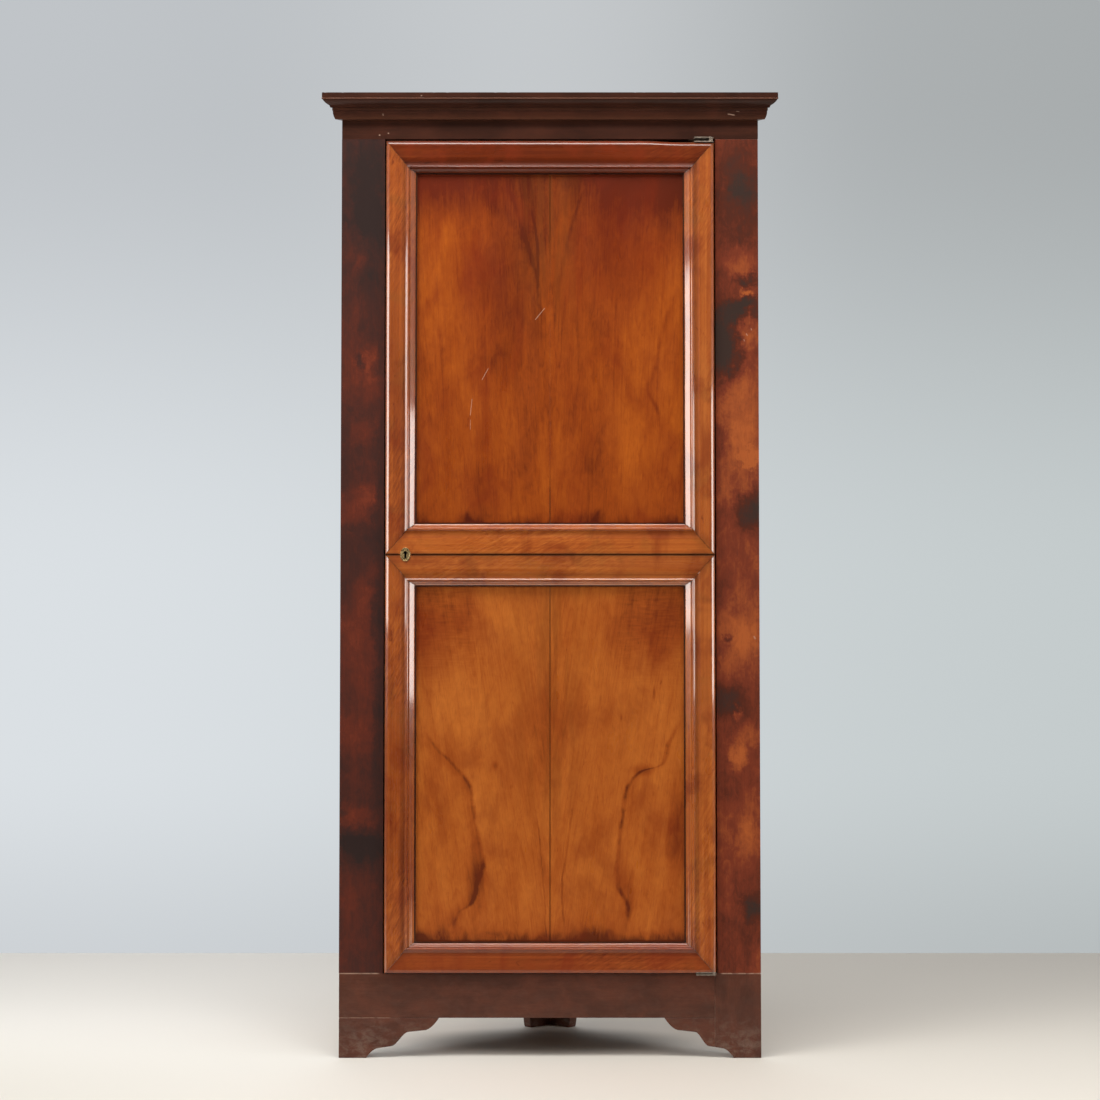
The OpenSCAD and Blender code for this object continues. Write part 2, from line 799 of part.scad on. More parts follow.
// The mitred outline of one side of a frame whose outer edges are lo and hi
function mitre_outline(side, lo, hi) =
    let (w = member_w)
    side == "left" ? [lo, lo + [w, w], [lo.x + w, hi.y - w], [lo.x, hi.y]] :
    side == "right" ? [hi, hi - [w, w], [hi.x - w, lo.y + w], [hi.x, lo.y]] :
    side == "top" ? [hi, [lo.x, hi.y], [lo.x + w, hi.y - w], hi - [w, w]] :
    [lo, [hi.x, lo.y], [hi.x - w, lo.y + w], lo + [w, w]];

// The section of the moulding run along one side of a frame, with square ends
module moulding_strip(side, lo, hi) {
    section = moulding_section();
    if (side == "left" || side == "right")
        translate([0, 0, lo.y]) linear_extrude(height = hi.y - lo.y)
            polygon([for (p = section) [side == "left" ? lo.x + p.x : hi.x - p.x, face_y - p.y]]);
    else
        along_x(lo.x, hi.x)
            polygon([for (p = section) [face_y - p.y, side == "bottom" ? lo.y + p.x : hi.y - p.x]]);
}

// One side of a moulded frame, mitred at both ends
module frame_moulding(side, lo, hi) {
    front = edge_h + edge_r + bead_r;
    intersection() {
        upright(face_y - front, front + panel_front) polygon(mitre_outline(side, lo, hi));
        moulding_strip(side, lo, hi);
    }
}

// One side of the upper frame
module upper_moulding(side) {
    frame_moulding(side, [-door_x, seam_z], [door_x, door_z1]);
}

// One side of the lower frame, whose foot is planed off with the door
module lower_moulding(side) {
    difference() {
        frame_moulding(side, [-door_x, lower_z0], [door_x, seam_z]);
        block([-door_x - past, face_y - member_w, lower_z0 - past],
              [door_x + past, face_y + member_w, door_z0]);
    }
}

module upper_left_moulding() {
    color(moulding_brown) upper_moulding("left");
}

module upper_right_moulding() {
    color(moulding_brown) difference() {
        upper_moulding("right");
        door_leaf_recesses();
    }
}

module upper_top_moulding() {
    color(moulding_brown) difference() {
        upper_moulding("top");
        door_leaf_recesses();
    }
}

module upper_bottom_moulding() {
    color(moulding_brown) difference() {
        upper_moulding("bottom");
        escutcheon_seat();
    }
}

module lower_left_moulding() {
    color(moulding_brown) lower_moulding("left");
}

module lower_right_moulding() {
    color(moulding_brown) difference() {
        lower_moulding("right");
        door_leaf_recesses();
    }
}

module lower_top_moulding() {
    color(moulding_brown) difference() {
        lower_moulding("top");
        escutcheon_seat();
    }
}

module lower_bottom_moulding() {
    color(moulding_brown) difference() {
        lower_moulding("bottom");
        door_leaf_recesses();
    }
}

// The outline of a hinge leaf, grown by a clearance: a bar in the wood and an arm in front.
// The corner is what joins its right edge to its front edge.
module leaf_outline(c, corner) {
    x0 = door_x - leaf_l - c;
    x1 = door_x + c;
    y0 = face_y + leaf_in - c;
    y1 = face_y + leaf_in + leaf_w + c;
    polygon(concat([[x0, y0], [x0, y1], [x1, y1]], corner,
                   [[hinge_x - arm_l - c, hinge_y - eye_r - c], [hinge_x - arm_l - c, y0]]));
}

// A leaf with its lower face at z, rounded about the pin
module leaf_plate(z) {
    translate([0, 0, z]) linear_extrude(height = leaf_t)
        leaf_outline(0, arc([hinge_x, hinge_y], eye_r, 0, -90, 8));
}

// The square recess of a leaf between two heights
module leaf_recess(z, t) {
    reach = eye_r + leaf_fit;
    translate([0, 0, z]) linear_extrude(height = t)
        leaf_outline(leaf_fit, [[hinge_x + reach, hinge_y - reach]]);
}

// The recesses of the door's two leaves
module door_leaf_recesses() {
    leaf_recess(door_z1 - leaf_t, leaf_t + past);
    leaf_recess(door_z0 - past, leaf_t + past);
}

// A countersunk screw that points up from its head, grown by a clearance
module wood_screw(l, c) {
    cylinder(h = l + c, r = screw_r + c);
    cylinder(h = leaf_t, r1 = screw_head_r + c, r2 = screw_r + c);
}

// Screws of a leaf whose outer face lies at z; dir is 1 when they point up
module leaf_screws(z, dir, c) {
    for (x = leaf_screw_xs)
        translate([x, leaf_screw_y, z]) mirror([0, 0, dir > 0 ? 0 : 1]) wood_screw(screw_l, c);
}

module top_frame_screws(c) {
    leaf_screws(frieze_z, 1, c);
}

module bottom_frame_screws(c) {
    leaf_screws(base_top, -1, c);
}

module frame_leaf_screws() {
    color(steel) {
        top_frame_screws(0);
        bottom_frame_screws(0);
    }
}

module door_leaf_screw_set(c) {
    leaf_screws(door_z1, -1, c);
    leaf_screws(door_z0, 1, c);
}

module door_leaf_screws() {
    color(steel) door_leaf_screw_set(0);
}

// A leaf with the collar and pin of the fixed side; up is 1 when the pin points up
module frame_leaf(z, up, gap) {
    collar_h = (gap - collar_gap) / 2;
    reach = gap + leaf_t - screw_fit;
    leaf_plate(up > 0 ? z - leaf_t : z);
    translate([hinge_x, hinge_y, z]) mirror([0, 0, up > 0 ? 0 : 1]) {
        cylinder(h = collar_h, r = collar_r);
        cylinder(h = reach, r = pin_r);
    }
}

// A leaf with the collar and bore of the door's side; up is 1 when the collar points up
module door_leaf(z, up, gap) {
    collar_h = (gap - collar_gap) / 2;
    difference() {
        union() {
            leaf_plate(up > 0 ? z - leaf_t : z);
            translate([hinge_x, hinge_y, z]) mirror([0, 0, up > 0 ? 0 : 1])
                cylinder(h = collar_h, r = collar_r);
        }
        translate([hinge_x, hinge_y, z - leaf_t - gap])
            cylinder(h = 2 * (leaf_t + gap), r = pin_r + pin_fit);
    }
}

module top_frame_leaf() {
    color(steel) difference() {
        frame_leaf(frieze_z, -1, top_gap);
        top_frame_screws(screw_fit);
    }
}

module bottom_frame_leaf() {
    color(steel) difference() {
        frame_leaf(base_top, 1, bottom_gap);
        bottom_frame_screws(screw_fit);
    }
}

module top_door_leaf() {
    color(steel) difference() {
        door_leaf(door_z1, 1, top_gap);
        door_leaf_screw_set(screw_fit);
    }
}

module bottom_door_leaf() {
    color(steel) difference() {
        door_leaf(door_z0, -1, bottom_gap);
        door_leaf_screw_set(screw_fit);
    }
}

// The slot and mortise for the bolt and the shallow recess for the keep, in the left stile
module keep_recess() {
    block([-opening_x - plate_t, keep_y0, keep_z0], [-opening_x + past, keep_y1, keep_z1]);
    bolt_space(-opening_x - keep_depth, -opening_x + past);
}

// The room that the bolt needs outside the door
module bolt_space(x0, x1) {
    block([x0, bolt_y - keep_fit, bolt_z - keep_fit],
          [x1, bolt_y + bolt_t + keep_fit, bolt_z + bolt_h + keep_fit]);
}

// The keep's screws, grown by a clearance
module keep_screw_set(c) {
    for (z = keep_screw_zs)
        translate([-opening_x, keep_screw_y, z]) rotate([0, -90, 0]) {
            cylinder(h = lock_screw_l + c, r = screw_r + c);
            cylinder(h = plate_t, r1 = screw_head_r + c, r2 = screw_r + c);
        }
}

module lock_keep() {
    color(steel) difference() {
        block([-opening_x - plate_t, keep_y0, keep_z0], [-opening_x, keep_y1, keep_z1]);
        bolt_space(-opening_x - keep_depth, -opening_x + past);
        keep_screw_set(screw_fit);
    }
}

module keep_screws() {
    color(steel) keep_screw_set(0);
}

// The recess for the lock in the back and the edge of the door
module lock_recess() {
    c = joint_gap;
    block([-door_x - past, cap_y - c, case_z0 - c], [case_x1 + c, door_back_y + past, case_z1 + c]);
    block([-door_x - past, edge_plate_y - c, case_z0 - edge_plate_over - c],
          [-door_x + lock_plate_t, door_back_y + past, case_z1 + edge_plate_over + c]);
}

// The keyhole, grown by a clearance, from in front of the escutcheon to behind the cap
module keyhole(c) {
    y0 = face_y - escutcheon_out - rim_h - past;
    depth = case_y + past - y0;
    translate([key_x, 0, key_z]) {
        upright(y0, depth) translate([0, key_rise]) circle(key_r + c);
        block([-key_slot_w / 2 - c, y0, key_rise - key_slot_l - c],
              [key_slot_w / 2 + c, y0 + depth, key_rise]);
    }
}

// The screws of the lock's edge plate, grown by a clearance
module lock_screw_set(c) {
    for (z = lock_screw_zs)
        translate([-door_x, lock_screw_y, z]) rotate([0, 90, 0]) {
            cylinder(h = lock_screw_l + c, r = screw_r + c);
            cylinder(h = lock_plate_t, r1 = screw_head_r + c, r2 = screw_r + c);
        }
}

module lock_screws() {
    color(steel) lock_screw_set(0);
}

// The lock's case: a shallow box with its edge plate, guide post and key pin
module lock_case() {
    inner_y1 = door_back_y - lock_plate_t;
    color(steel) difference() {
        union() {
            difference() {
                block([-door_x, case_y, case_z0], [case_x1, door_back_y, case_z1]);
                block([-door_x + lock_plate_t, case_y - past, case_z0 + plate_t],
                      [case_x1 - plate_t, inner_y1, case_z1 - plate_t]);
            }
            block([-door_x, edge_plate_y, case_z0 - edge_plate_over],
                  [-door_x + lock_plate_t, door_back_y, case_z1 + edge_plate_over]);
            translate([guide_x, inner_y1 + past, guide_z]) rotate([90, 0, 0])
                cylinder(h = inner_y1 + past - case_y, r = post_r);
            translate([key_x, inner_y1 + past, key_z + key_rise]) rotate([90, 0, 0])
                cylinder(h = inner_y1 + past - case_y - key_pin_gap, r = key_pin_r);
        }
        block([-door_x - past, bolt_y - bolt_fit, bolt_z - bolt_fit],
              [-door_x + lock_plate_t + past, bolt_y + bolt_t + bolt_fit, bolt_z + bolt_h + bolt_fit]);
        lock_screw_set(screw_fit);
    }
}

module lock_cap() {
    color(steel) difference() {
        block([-door_x + lock_plate_t, cap_y, case_z0], [case_x1, case_y, case_z1]);
        keyhole(0);
    }
}

// The bolt, with the slot for its guide post and the notch that the key throws
module lock_bolt() {
    slot_c = post_r + bolt_fit;
    color(steel) difference() {
        block([bolt_x, bolt_y, bolt_z], [bolt_x + bolt_l, bolt_y + bolt_t, bolt_z + bolt_h]);
        block([guide_x - slot_c, bolt_y - past, guide_z - slot_c],
              [guide_x + slot_c + bolt_throw + bolt_fit, bolt_y + bolt_t + past, guide_z + slot_c]);
        block([key_x - notch_w / 2, bolt_y - past, bolt_z - past],
              [key_x + notch_w / 2, bolt_y + bolt_t + past, bolt_z + notch_h]);
    }
}

// The leaf spring on the bolt's back, which presses against the top of the case
module bolt_spring() {
    z0 = bolt_z + bolt_h;
    rise = case_z1 - plate_t - spring_gap - spring_t - z0;
    x1 = bolt_x + bolt_l - spring_t;
    n = 10;
    bow = 120;
    under = [for (i = [0:n]) [x1 - spring_foot_l - spring_span * i / n, z0 + rise * sin(bow * i / n)]];
    over = [for (i = [n:-1:0]) under[i] + [0, spring_t]];
    color(steel) upright(bolt_y + (bolt_t - spring_w) / 2, spring_w)
        polygon(concat([[x1, z0]], under, over, [[x1, z0 + spring_t]]));
}

// The room for the escutcheon and for the key behind it, in the mouldings
module escutcheon_seat() {
    front = escutcheon_out + bead_r;
    translate([key_x, 0, key_z]) upright(face_y - front, front - escutcheon_back)
        polygon(ellipse(escutcheon_w + 2 * joint_gap, escutcheon_h + 2 * joint_gap, 40));
    keyhole(joint_gap);
}

module keyhole_escutcheon() {
    color(brass) difference() {
        translate([key_x, 0, key_z]) {
            upright(face_y - escutcheon_out, escutcheon_out - escutcheon_back)
                polygon(ellipse(escutcheon_w, escutcheon_h, 40));
            upright(face_y - escutcheon_out - rim_h, rim_h + past) difference() {
                polygon(ellipse(escutcheon_w, escutcheon_h, 40));
                polygon(ellipse(escutcheon_w - 2 * rim_w, escutcheon_h - 2 * rim_w, 40));
            }
        }
        keyhole(0);
    }
}

left_stile();
right_stile();
frieze_rail();
base_rail();
right_corner_block();
left_foot_bracket();
right_foot_bracket();
foot_glue_blocks();
back_foot_left_wing();
back_foot_right_wing();
left_wall_boards();
right_wall_boards();
back_post();
top_boards();
floor_board();
lower_shelf();
middle_shelf();
upper_shelf();
left_battens();
right_battens();
cornice_crown();
cornice_bed();
door_stop();
top_frame_leaf();
bottom_frame_leaf();
frame_leaf_screws();
lock_keep();
keep_screws();
door_lock_stile();
door_hinge_stile();
door_top_rail();
door_middle_rail();
door_bottom_rail();
upper_left_panel();
upper_right_panel();
lower_left_panel();
lower_right_panel();
upper_left_moulding();
upper_right_moulding();
upper_top_moulding();
upper_bottom_moulding();
lower_left_moulding();
lower_right_moulding();
lower_top_moulding();
lower_bottom_moulding();
top_door_leaf();
bottom_door_leaf();
door_leaf_screws();
lock_case();
lock_cap();
lock_screws();
keyhole_escutcheon();
lock_bolt();
bolt_spring();
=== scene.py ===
"""The looks of a tall walnut corner cabinet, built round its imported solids.

Everything is in metres in the cabinet's own frame: Z is up, the front looks towards -Y, the
origin is on the floor, and the two walls meet behind the front at a right angle.
"""

from __future__ import annotations

import logging
import math
import random
from dataclasses import dataclass, field, replace
from enum import Enum
from functools import lru_cache
from typing import Callable, Sequence, Union

import bmesh
import bpy
from mathutils import Matrix, Vector
from mathutils import noise as field_noise


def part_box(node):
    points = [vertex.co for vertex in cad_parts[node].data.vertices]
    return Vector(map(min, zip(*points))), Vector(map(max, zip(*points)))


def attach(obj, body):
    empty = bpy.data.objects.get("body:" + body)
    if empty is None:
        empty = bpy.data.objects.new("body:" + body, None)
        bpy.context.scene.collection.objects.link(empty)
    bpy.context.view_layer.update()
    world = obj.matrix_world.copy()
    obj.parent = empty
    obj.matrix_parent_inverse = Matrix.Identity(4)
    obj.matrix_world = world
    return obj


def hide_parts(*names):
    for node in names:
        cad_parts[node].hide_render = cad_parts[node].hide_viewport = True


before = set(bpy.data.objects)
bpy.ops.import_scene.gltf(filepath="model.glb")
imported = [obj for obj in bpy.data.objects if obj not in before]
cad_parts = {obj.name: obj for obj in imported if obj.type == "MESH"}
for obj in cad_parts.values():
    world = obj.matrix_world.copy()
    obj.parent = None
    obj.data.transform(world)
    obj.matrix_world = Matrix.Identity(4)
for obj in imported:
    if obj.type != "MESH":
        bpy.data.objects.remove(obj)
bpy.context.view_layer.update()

log = logging.getLogger("cabinet")

Colour = tuple[float, float, float, float]
Socket = bpy.types.NodeSocket
Point = tuple[float, float]
Triple = tuple[float, float, float]
MM = 0.001
UP, DOWN = Vector((0, 0, 1)), Vector((0, 0, -1))


def shade(red: float, green: float, blue: float) -> Colour:
    """Turns a colour as the eye reads it, 0 to 255, into the shader's linear colour."""
    return (*((c / 255 / 12.92) if c < 10.3 else ((c / 255 + 0.055) / 1.055) ** 2.4 for c in (red, green, blue)), 1.0)


class Grain(Enum):
    """The way in which the fibres of a piece run."""

    UP = "up"
    ACROSS = "across"
    LEFT_WALL = "along the left wall"
    RIGHT_WALL = "along the right wall"


class Side(Enum):
    """The four sides of a mitred frame."""

    LEFT = "left"
    RIGHT = "right"
    TOP = "top"
    BOTTOM = "bottom"


@dataclass(frozen=True)
class Waves:
    """A noise: its waves per metre along each axis, its finer waves, their strength, and how it is bent."""

    scale: Triple
    detail: float = 3.0
    rough: float = 0.55
    warp: float = 0.0


class Number:
    """A number that varies over a surface: the output of a node, with the plain sums."""

    def __init__(self, sketch: Sketch, socket: Socket) -> None:
        """Holds the output and the drawing that it is in."""
        self.sketch, self.socket = sketch, socket

    def __add__(self, other: Value) -> Number:
        """Adds a number."""
        return self.sketch.maths("ADD", self, other)

    def __sub__(self, other: Value) -> Number:
        """Takes a number off."""
        return self.sketch.maths("SUBTRACT", self, other)

    def __rsub__(self, other: float) -> Number:
        """Takes this off a number."""
        return self.sketch.maths("SUBTRACT", other, self)

    def __mul__(self, other: Value) -> Number:
        """Multiplies by a number."""
        return self.sketch.maths("MULTIPLY", self, other)

    def __truediv__(self, other: Value) -> Number:
        """Divides by a number."""
        return self.sketch.maths("DIVIDE", self, other)

    def __abs__(self) -> Number:
        """Drops the sign."""
        return self.sketch.maths("ABSOLUTE", self)

    def swing(self, gain: float, base: Value = 0.0) -> Number:
        """Stretches a noise about 0.5 by a gain, and sets it about a base."""
        return self.sketch.maths("MULTIPLY_ADD", self, gain, base - gain / 2)

    def between(self, low: float, high: float, start: float = 0.0, end: float = 1.0) -> Number:
        """Eases the number from one range into another.

        Args:
            low: where the range begins.
            high: where the range ends.
            start: the result at its beginning.
            end: the result at its end.

        Returns:
            The eased number.
        """
        node = self.sketch.put("ShaderNodeMapRange", interpolation_type="SMOOTHSTEP")
        self.sketch.fill(node, self, low, high, start, end)
        return Number(self.sketch, node.outputs[0])


Value = Union[float, Number]


class Sketch:
    """The drawing of one node tree, with short ways to add to it."""

    def __init__(self, tree: bpy.types.NodeTree) -> None:
        """Takes the tree that is drawn in."""
        self.tree = tree

    def put(self, kind: str, **settings: object) -> bpy.types.Node:
        """Adds a node.

        Args:
            kind: the node's type name.
            settings: what to set on it.

        Returns:
            The new node.
        """
        node = self.tree.nodes.new(kind)
        for key, value in settings.items():
            setattr(node, key, value)
        return node

    def feed(self, socket: Socket, value: object) -> None:
        """Links or sets an input, as its value asks.

        Args:
            socket: the input.
            value: an output to link, or a plain value.
        """
        value = value.socket if isinstance(value, Number) else value
        if isinstance(value, Socket):
            self.tree.links.new(value, socket)
        else:
            socket.default_value = value

    def fill(self, node: bpy.types.Node, *values: object) -> None:
        """Feeds a node's inputs in their order.

        Args:
            node: the node.
            values: what its first inputs take.
        """
        for socket, value in zip(node.inputs, values):
            self.feed(socket, value)

    def maths(self, operation: str, *values: Value) -> Number:
        """Adds a Math node.

        Args:
            operation: what it works out.
            values: the numbers that it takes.

        Returns:
            The result.
        """
        node = self.put("ShaderNodeMath", operation=operation)
        self.fill(node, *values)
        return Number(self, node.outputs[0])

    def vectors(self, operation: str, a: object, b: object) -> bpy.types.Node:
        """Adds a Vector Math node.

        Args:
            operation: what it works out.
            a: the first vector.
            b: the second vector.

        Returns:
            The node, for its vector or its number.
        """
        node = self.put("ShaderNodeVectorMath", operation=operation)
        self.fill(node, a, b)
        return node

    def place(self) -> Socket:
        """Gives the point's place in the cabinet's frame."""
        return self.put("ShaderNodeTexCoord").outputs["Object"]

    def split(self, vector: Socket) -> list[Number]:
        """Splits a vector.

        Args:
            vector: the vector.

        Returns:
            Its three numbers.
        """
        node = self.put("ShaderNodeSeparateXYZ")
        self.feed(node.inputs[0], vector)
        return [Number(self, socket) for socket in node.outputs]

    def joined(self, x: Value, y: Value, z: Value) -> Socket:
        """Joins three numbers.

        Args:
            x: the first number.
            y: the second number.
            z: the third number.

        Returns:
            The vector.
        """
        node = self.put("ShaderNodeCombineXYZ")
        self.fill(node, x, y, z)
        return node.outputs[0]

    def reach(self, place: Socket, centre: Triple, scale: Triple) -> Number:
        """Measures how far a place lies from a centre.

        Args:
            place: the place.
            centre: the centre.
            scale: what the distance along each axis is multiplied by.

        Returns:
            The distance.
        """
        off = self.vectors("SUBTRACT", place, centre).outputs[0]
        near = self.vectors("MULTIPLY", off, scale).outputs[0]
        return Number(self, self.vectors("LENGTH", near, (0.0, 0.0, 0.0)).outputs[1])

    def noise(self, vector: Socket, waves: Waves) -> Number:
        """Adds a stretched noise.

        Args:
            vector: where it is read.
            waves: its settings.

        Returns:
            A number about 0.5.
        """
        node = self.put("ShaderNodeTexNoise")
        stretched = self.vectors("MULTIPLY", vector, waves.scale).outputs[0]
        for key, value in (("Vector", stretched), ("Scale", 1.0), ("Detail", waves.detail),
                           ("Roughness", waves.rough), ("Distortion", waves.warp)):
            self.feed(node.inputs[key], value)
        return Number(self, node.outputs[0])

    def ramp(self, value: Number, *stops: tuple[float, Colour]) -> Socket:
        """Turns a number into a colour.

        Args:
            value: the number.
            stops: places and their colours.

        Returns:
            The colour.
        """
        node = self.put("ShaderNodeValToRGB")
        elements = node.color_ramp.elements
        while len(elements) < len(stops):
            elements.new(0.5)
        for element, (at, colour) in zip(elements, stops):
            element.position = at
            element.color = colour
        self.fill(node, value)
        return node.outputs[0]

    def blend(self, share: Value, a: object, b: object) -> Socket:
        """Mixes two colours.

        Args:
            share: how much of the second shows.
            a: the first colour.
            b: the second colour.

        Returns:
            The mixed colour.
        """
        node = self.put("ShaderNodeMix", data_type="RGBA")
        for index, value in ((0, share), (6, a), (7, b)):
            self.feed(node.inputs[index], value)
        return node.outputs[2]

    def mixed(self, share: Value, first: Socket, second: Socket) -> Socket:
        """Mixes two shaders.

        Args:
            share: how much of the second shows.
            first: the first shader.
            second: the second shader.

        Returns:
            The mixed shader.
        """
        mix = self.put("ShaderNodeMixShader")
        self.fill(mix, share, first, second)
        return mix.outputs[0]

    def curve(self, value: Number, points: Sequence[Point]) -> Number:
        """Reads a number off a drawn curve.

        Args:
            value: the place along the curve, 0 to 1.
            points: the curve's points.

        Returns:
            The curve's height.
        """
        node = self.put("ShaderNodeFloatCurve")
        line = node.mapping.curves[0]
        line.points[0].location, line.points[-1].location = points[0], points[-1]
        for point in points[1:-1]:
            line.points.new(*point)
        node.mapping.update()
        self.feed(node.inputs[1], value)
        return Number(self, node.outputs[0])


class MaterialSketch(Sketch):
    """The drawing of one material, round its main shader."""

    def __init__(self, name: str) -> None:
        """Starts an empty drawing with its shader.

        Args:
            name: the material's name.
        """
        self.material = bpy.data.materials.new(name)
        self.material.use_nodes = True
        super().__init__(self.material.node_tree)
        self.tree.nodes.clear()
        self.output = self.put("ShaderNodeOutputMaterial")
        self.shader = self.put("ShaderNodeBsdfPrincipled")
        self.feed(self.output.inputs[0], self.shader.outputs[0])
        self.where = self.place()
        self.x, self.y, self.z = self.split(self.where)

    def relief(self, height: Number, depth: float) -> None:
        """Bumps the surface.

        Args:
            height: the height in metres.
            depth: how strongly it shows, from 0 to 1.
        """
        node = self.put("ShaderNodeBump")
        for key, value in (("Strength", depth), ("Distance", 1.0), ("Height", height)):
            self.feed(node.inputs[key], value)
        self.feed(self.shader.inputs["Normal"], node.outputs[0])

    def polish(self, colour: Socket, rough: Value, coat: float = 0.0, coat_rough: float = 0.03, metal: float = 0.0,
               specular: float = 0.3, coat_ior: float = 1.5) -> None:
        """Sets the shader's colour and gloss.

        Args:
            colour: colour of the surface.
            rough: roughness of the surface.
            coat: strength of the clear coat on it.
            coat_rough: roughness of the coat.
            metal: 1 for bare metal.
            specular: strength of the plain reflection.
            coat_ior: how strongly the coat bends and mirrors light.
        """
        for key, value in (("Base Color", colour), ("Roughness", rough), ("Metallic", metal),
                           ("Specular IOR Level", specular), ("Coat Weight", coat),
                           ("Coat Roughness", coat_rough), ("Coat IOR", coat_ior)):
            self.feed(self.shader.inputs[key], value)


class WoodSketch(MaterialSketch):
    """The drawing of one wood, with the way of its grain and its fine fibres at hand."""

    def __init__(self, name: str, grain: Grain) -> None:
        """Starts the drawing.

        Args:
            name: the wood's name.
            grain: the way of the fibres.
        """
        super().__init__(f"{name}_{grain.name.lower()}")
        self.along = self.turned(grain)
        self.fibres = self.noise(self.along, Waves((260.0, 260.0, 5.0), 3.0, 0.6, 0.3))

    def turned(self, grain: Grain) -> Socket:
        """Gives the point's place turned so that the fibres run along Z.

        Args:
            grain: the way of the fibres.

        Returns:
            The turned place.
        """
        if grain is Grain.UP:
            return self.where
        if grain is Grain.ACROSS:
            return self.joined(self.z, self.y, self.x)
        half = math.sqrt(0.5)
        plus, minus = (self.x + self.y) * half, (self.y - self.x) * half
        return self.joined(minus, self.z, plus) if grain is Grain.LEFT_WALL else self.joined(plus, self.z, minus)


@dataclass(frozen=True)
class Spot:
    """A soft patch on the front: its middle, its half width and height, and what it adds to the tone."""

    x: float
    z: float
    wide: float
    high: float
    tone: float
    firm: float = 0.0

    def strength(self, sketch: Sketch, place: Socket) -> Number:
        """Draws the patch.

        Args:
            sketch: the drawing.
            place: the point's place, bent by noise where its edge is ragged.

        Returns:
            What the patch adds there.
        """
        off = sketch.reach(place, (self.x, 0.0, self.z), (1 / self.wide, 0.0, 1 / self.high))
        return off.between(self.firm, 1.15 - 0.15 * self.firm, self.tone, 0.0)


def patches(*rows: tuple[float, ...]) -> tuple[Spot, ...]:
    """Makes soft patches, one from each row of numbers."""
    return tuple(Spot(*row) for row in rows)


@dataclass(frozen=True)
class Rub:
    """A pale line where the polish is rubbed off along a joint of the front."""

    level: bool
    at: float
    start: float
    end: float
    tone: float = 0.7
    thin: float = 0.2 * MM
    thick: float = 1 * MM

    def strength(self, sketch: MaterialSketch, ragged: Number) -> Number:
        """Draws the line.

        Args:
            sketch: the drawing.
            ragged: a noise that breaks the line up.

        Returns:
            How pale it is there.
        """
        over, run = (sketch.z, sketch.x) if self.level else (sketch.x, sketch.z)
        line = abs(over - self.at).between(self.thin, self.thick, self.tone, 0.0)
        middle, half = (self.start + self.end) / 2, abs(self.end - self.start) / 2
        return line * abs(run - middle).between(half * 0.8, half, 1.0, 0.0) * ragged


@dataclass(frozen=True)
class Scratch:
    """A short pale mark on the front, between two places."""

    start: Point
    end: Point
    width: float = 0.7 * MM
    tone: float = 0.7

    def strength(self, sketch: MaterialSketch) -> Number:
        """Draws the mark.

        Args:
            sketch: the drawing.

        Returns:
            How pale it is there.
        """
        run = Vector((self.end[0] - self.start[0], 0.0, self.end[1] - self.start[1]))
        flat = sketch.vectors("MULTIPLY", sketch.where, (1.0, 0.0, 1.0)).outputs[0]
        off = sketch.vectors("SUBTRACT", flat, (self.start[0], 0.0, self.start[1])).outputs[0]
        share = Number(sketch, sketch.vectors("DOT_PRODUCT", off, tuple(run)).outputs[1]) / run.length_squared
        held = sketch.put("ShaderNodeClamp")
        sketch.fill(held, share)
        foot = sketch.put("ShaderNodeVectorMath", operation="SCALE")
        sketch.feed(foot.inputs[0], tuple(run))
        sketch.feed(foot.inputs["Scale"], held.outputs[0])
        away = Number(sketch, sketch.vectors("DISTANCE", off, foot.outputs[0]).outputs[1])
        return away.between(self.width * 0.4, self.width, self.tone, 0.0)


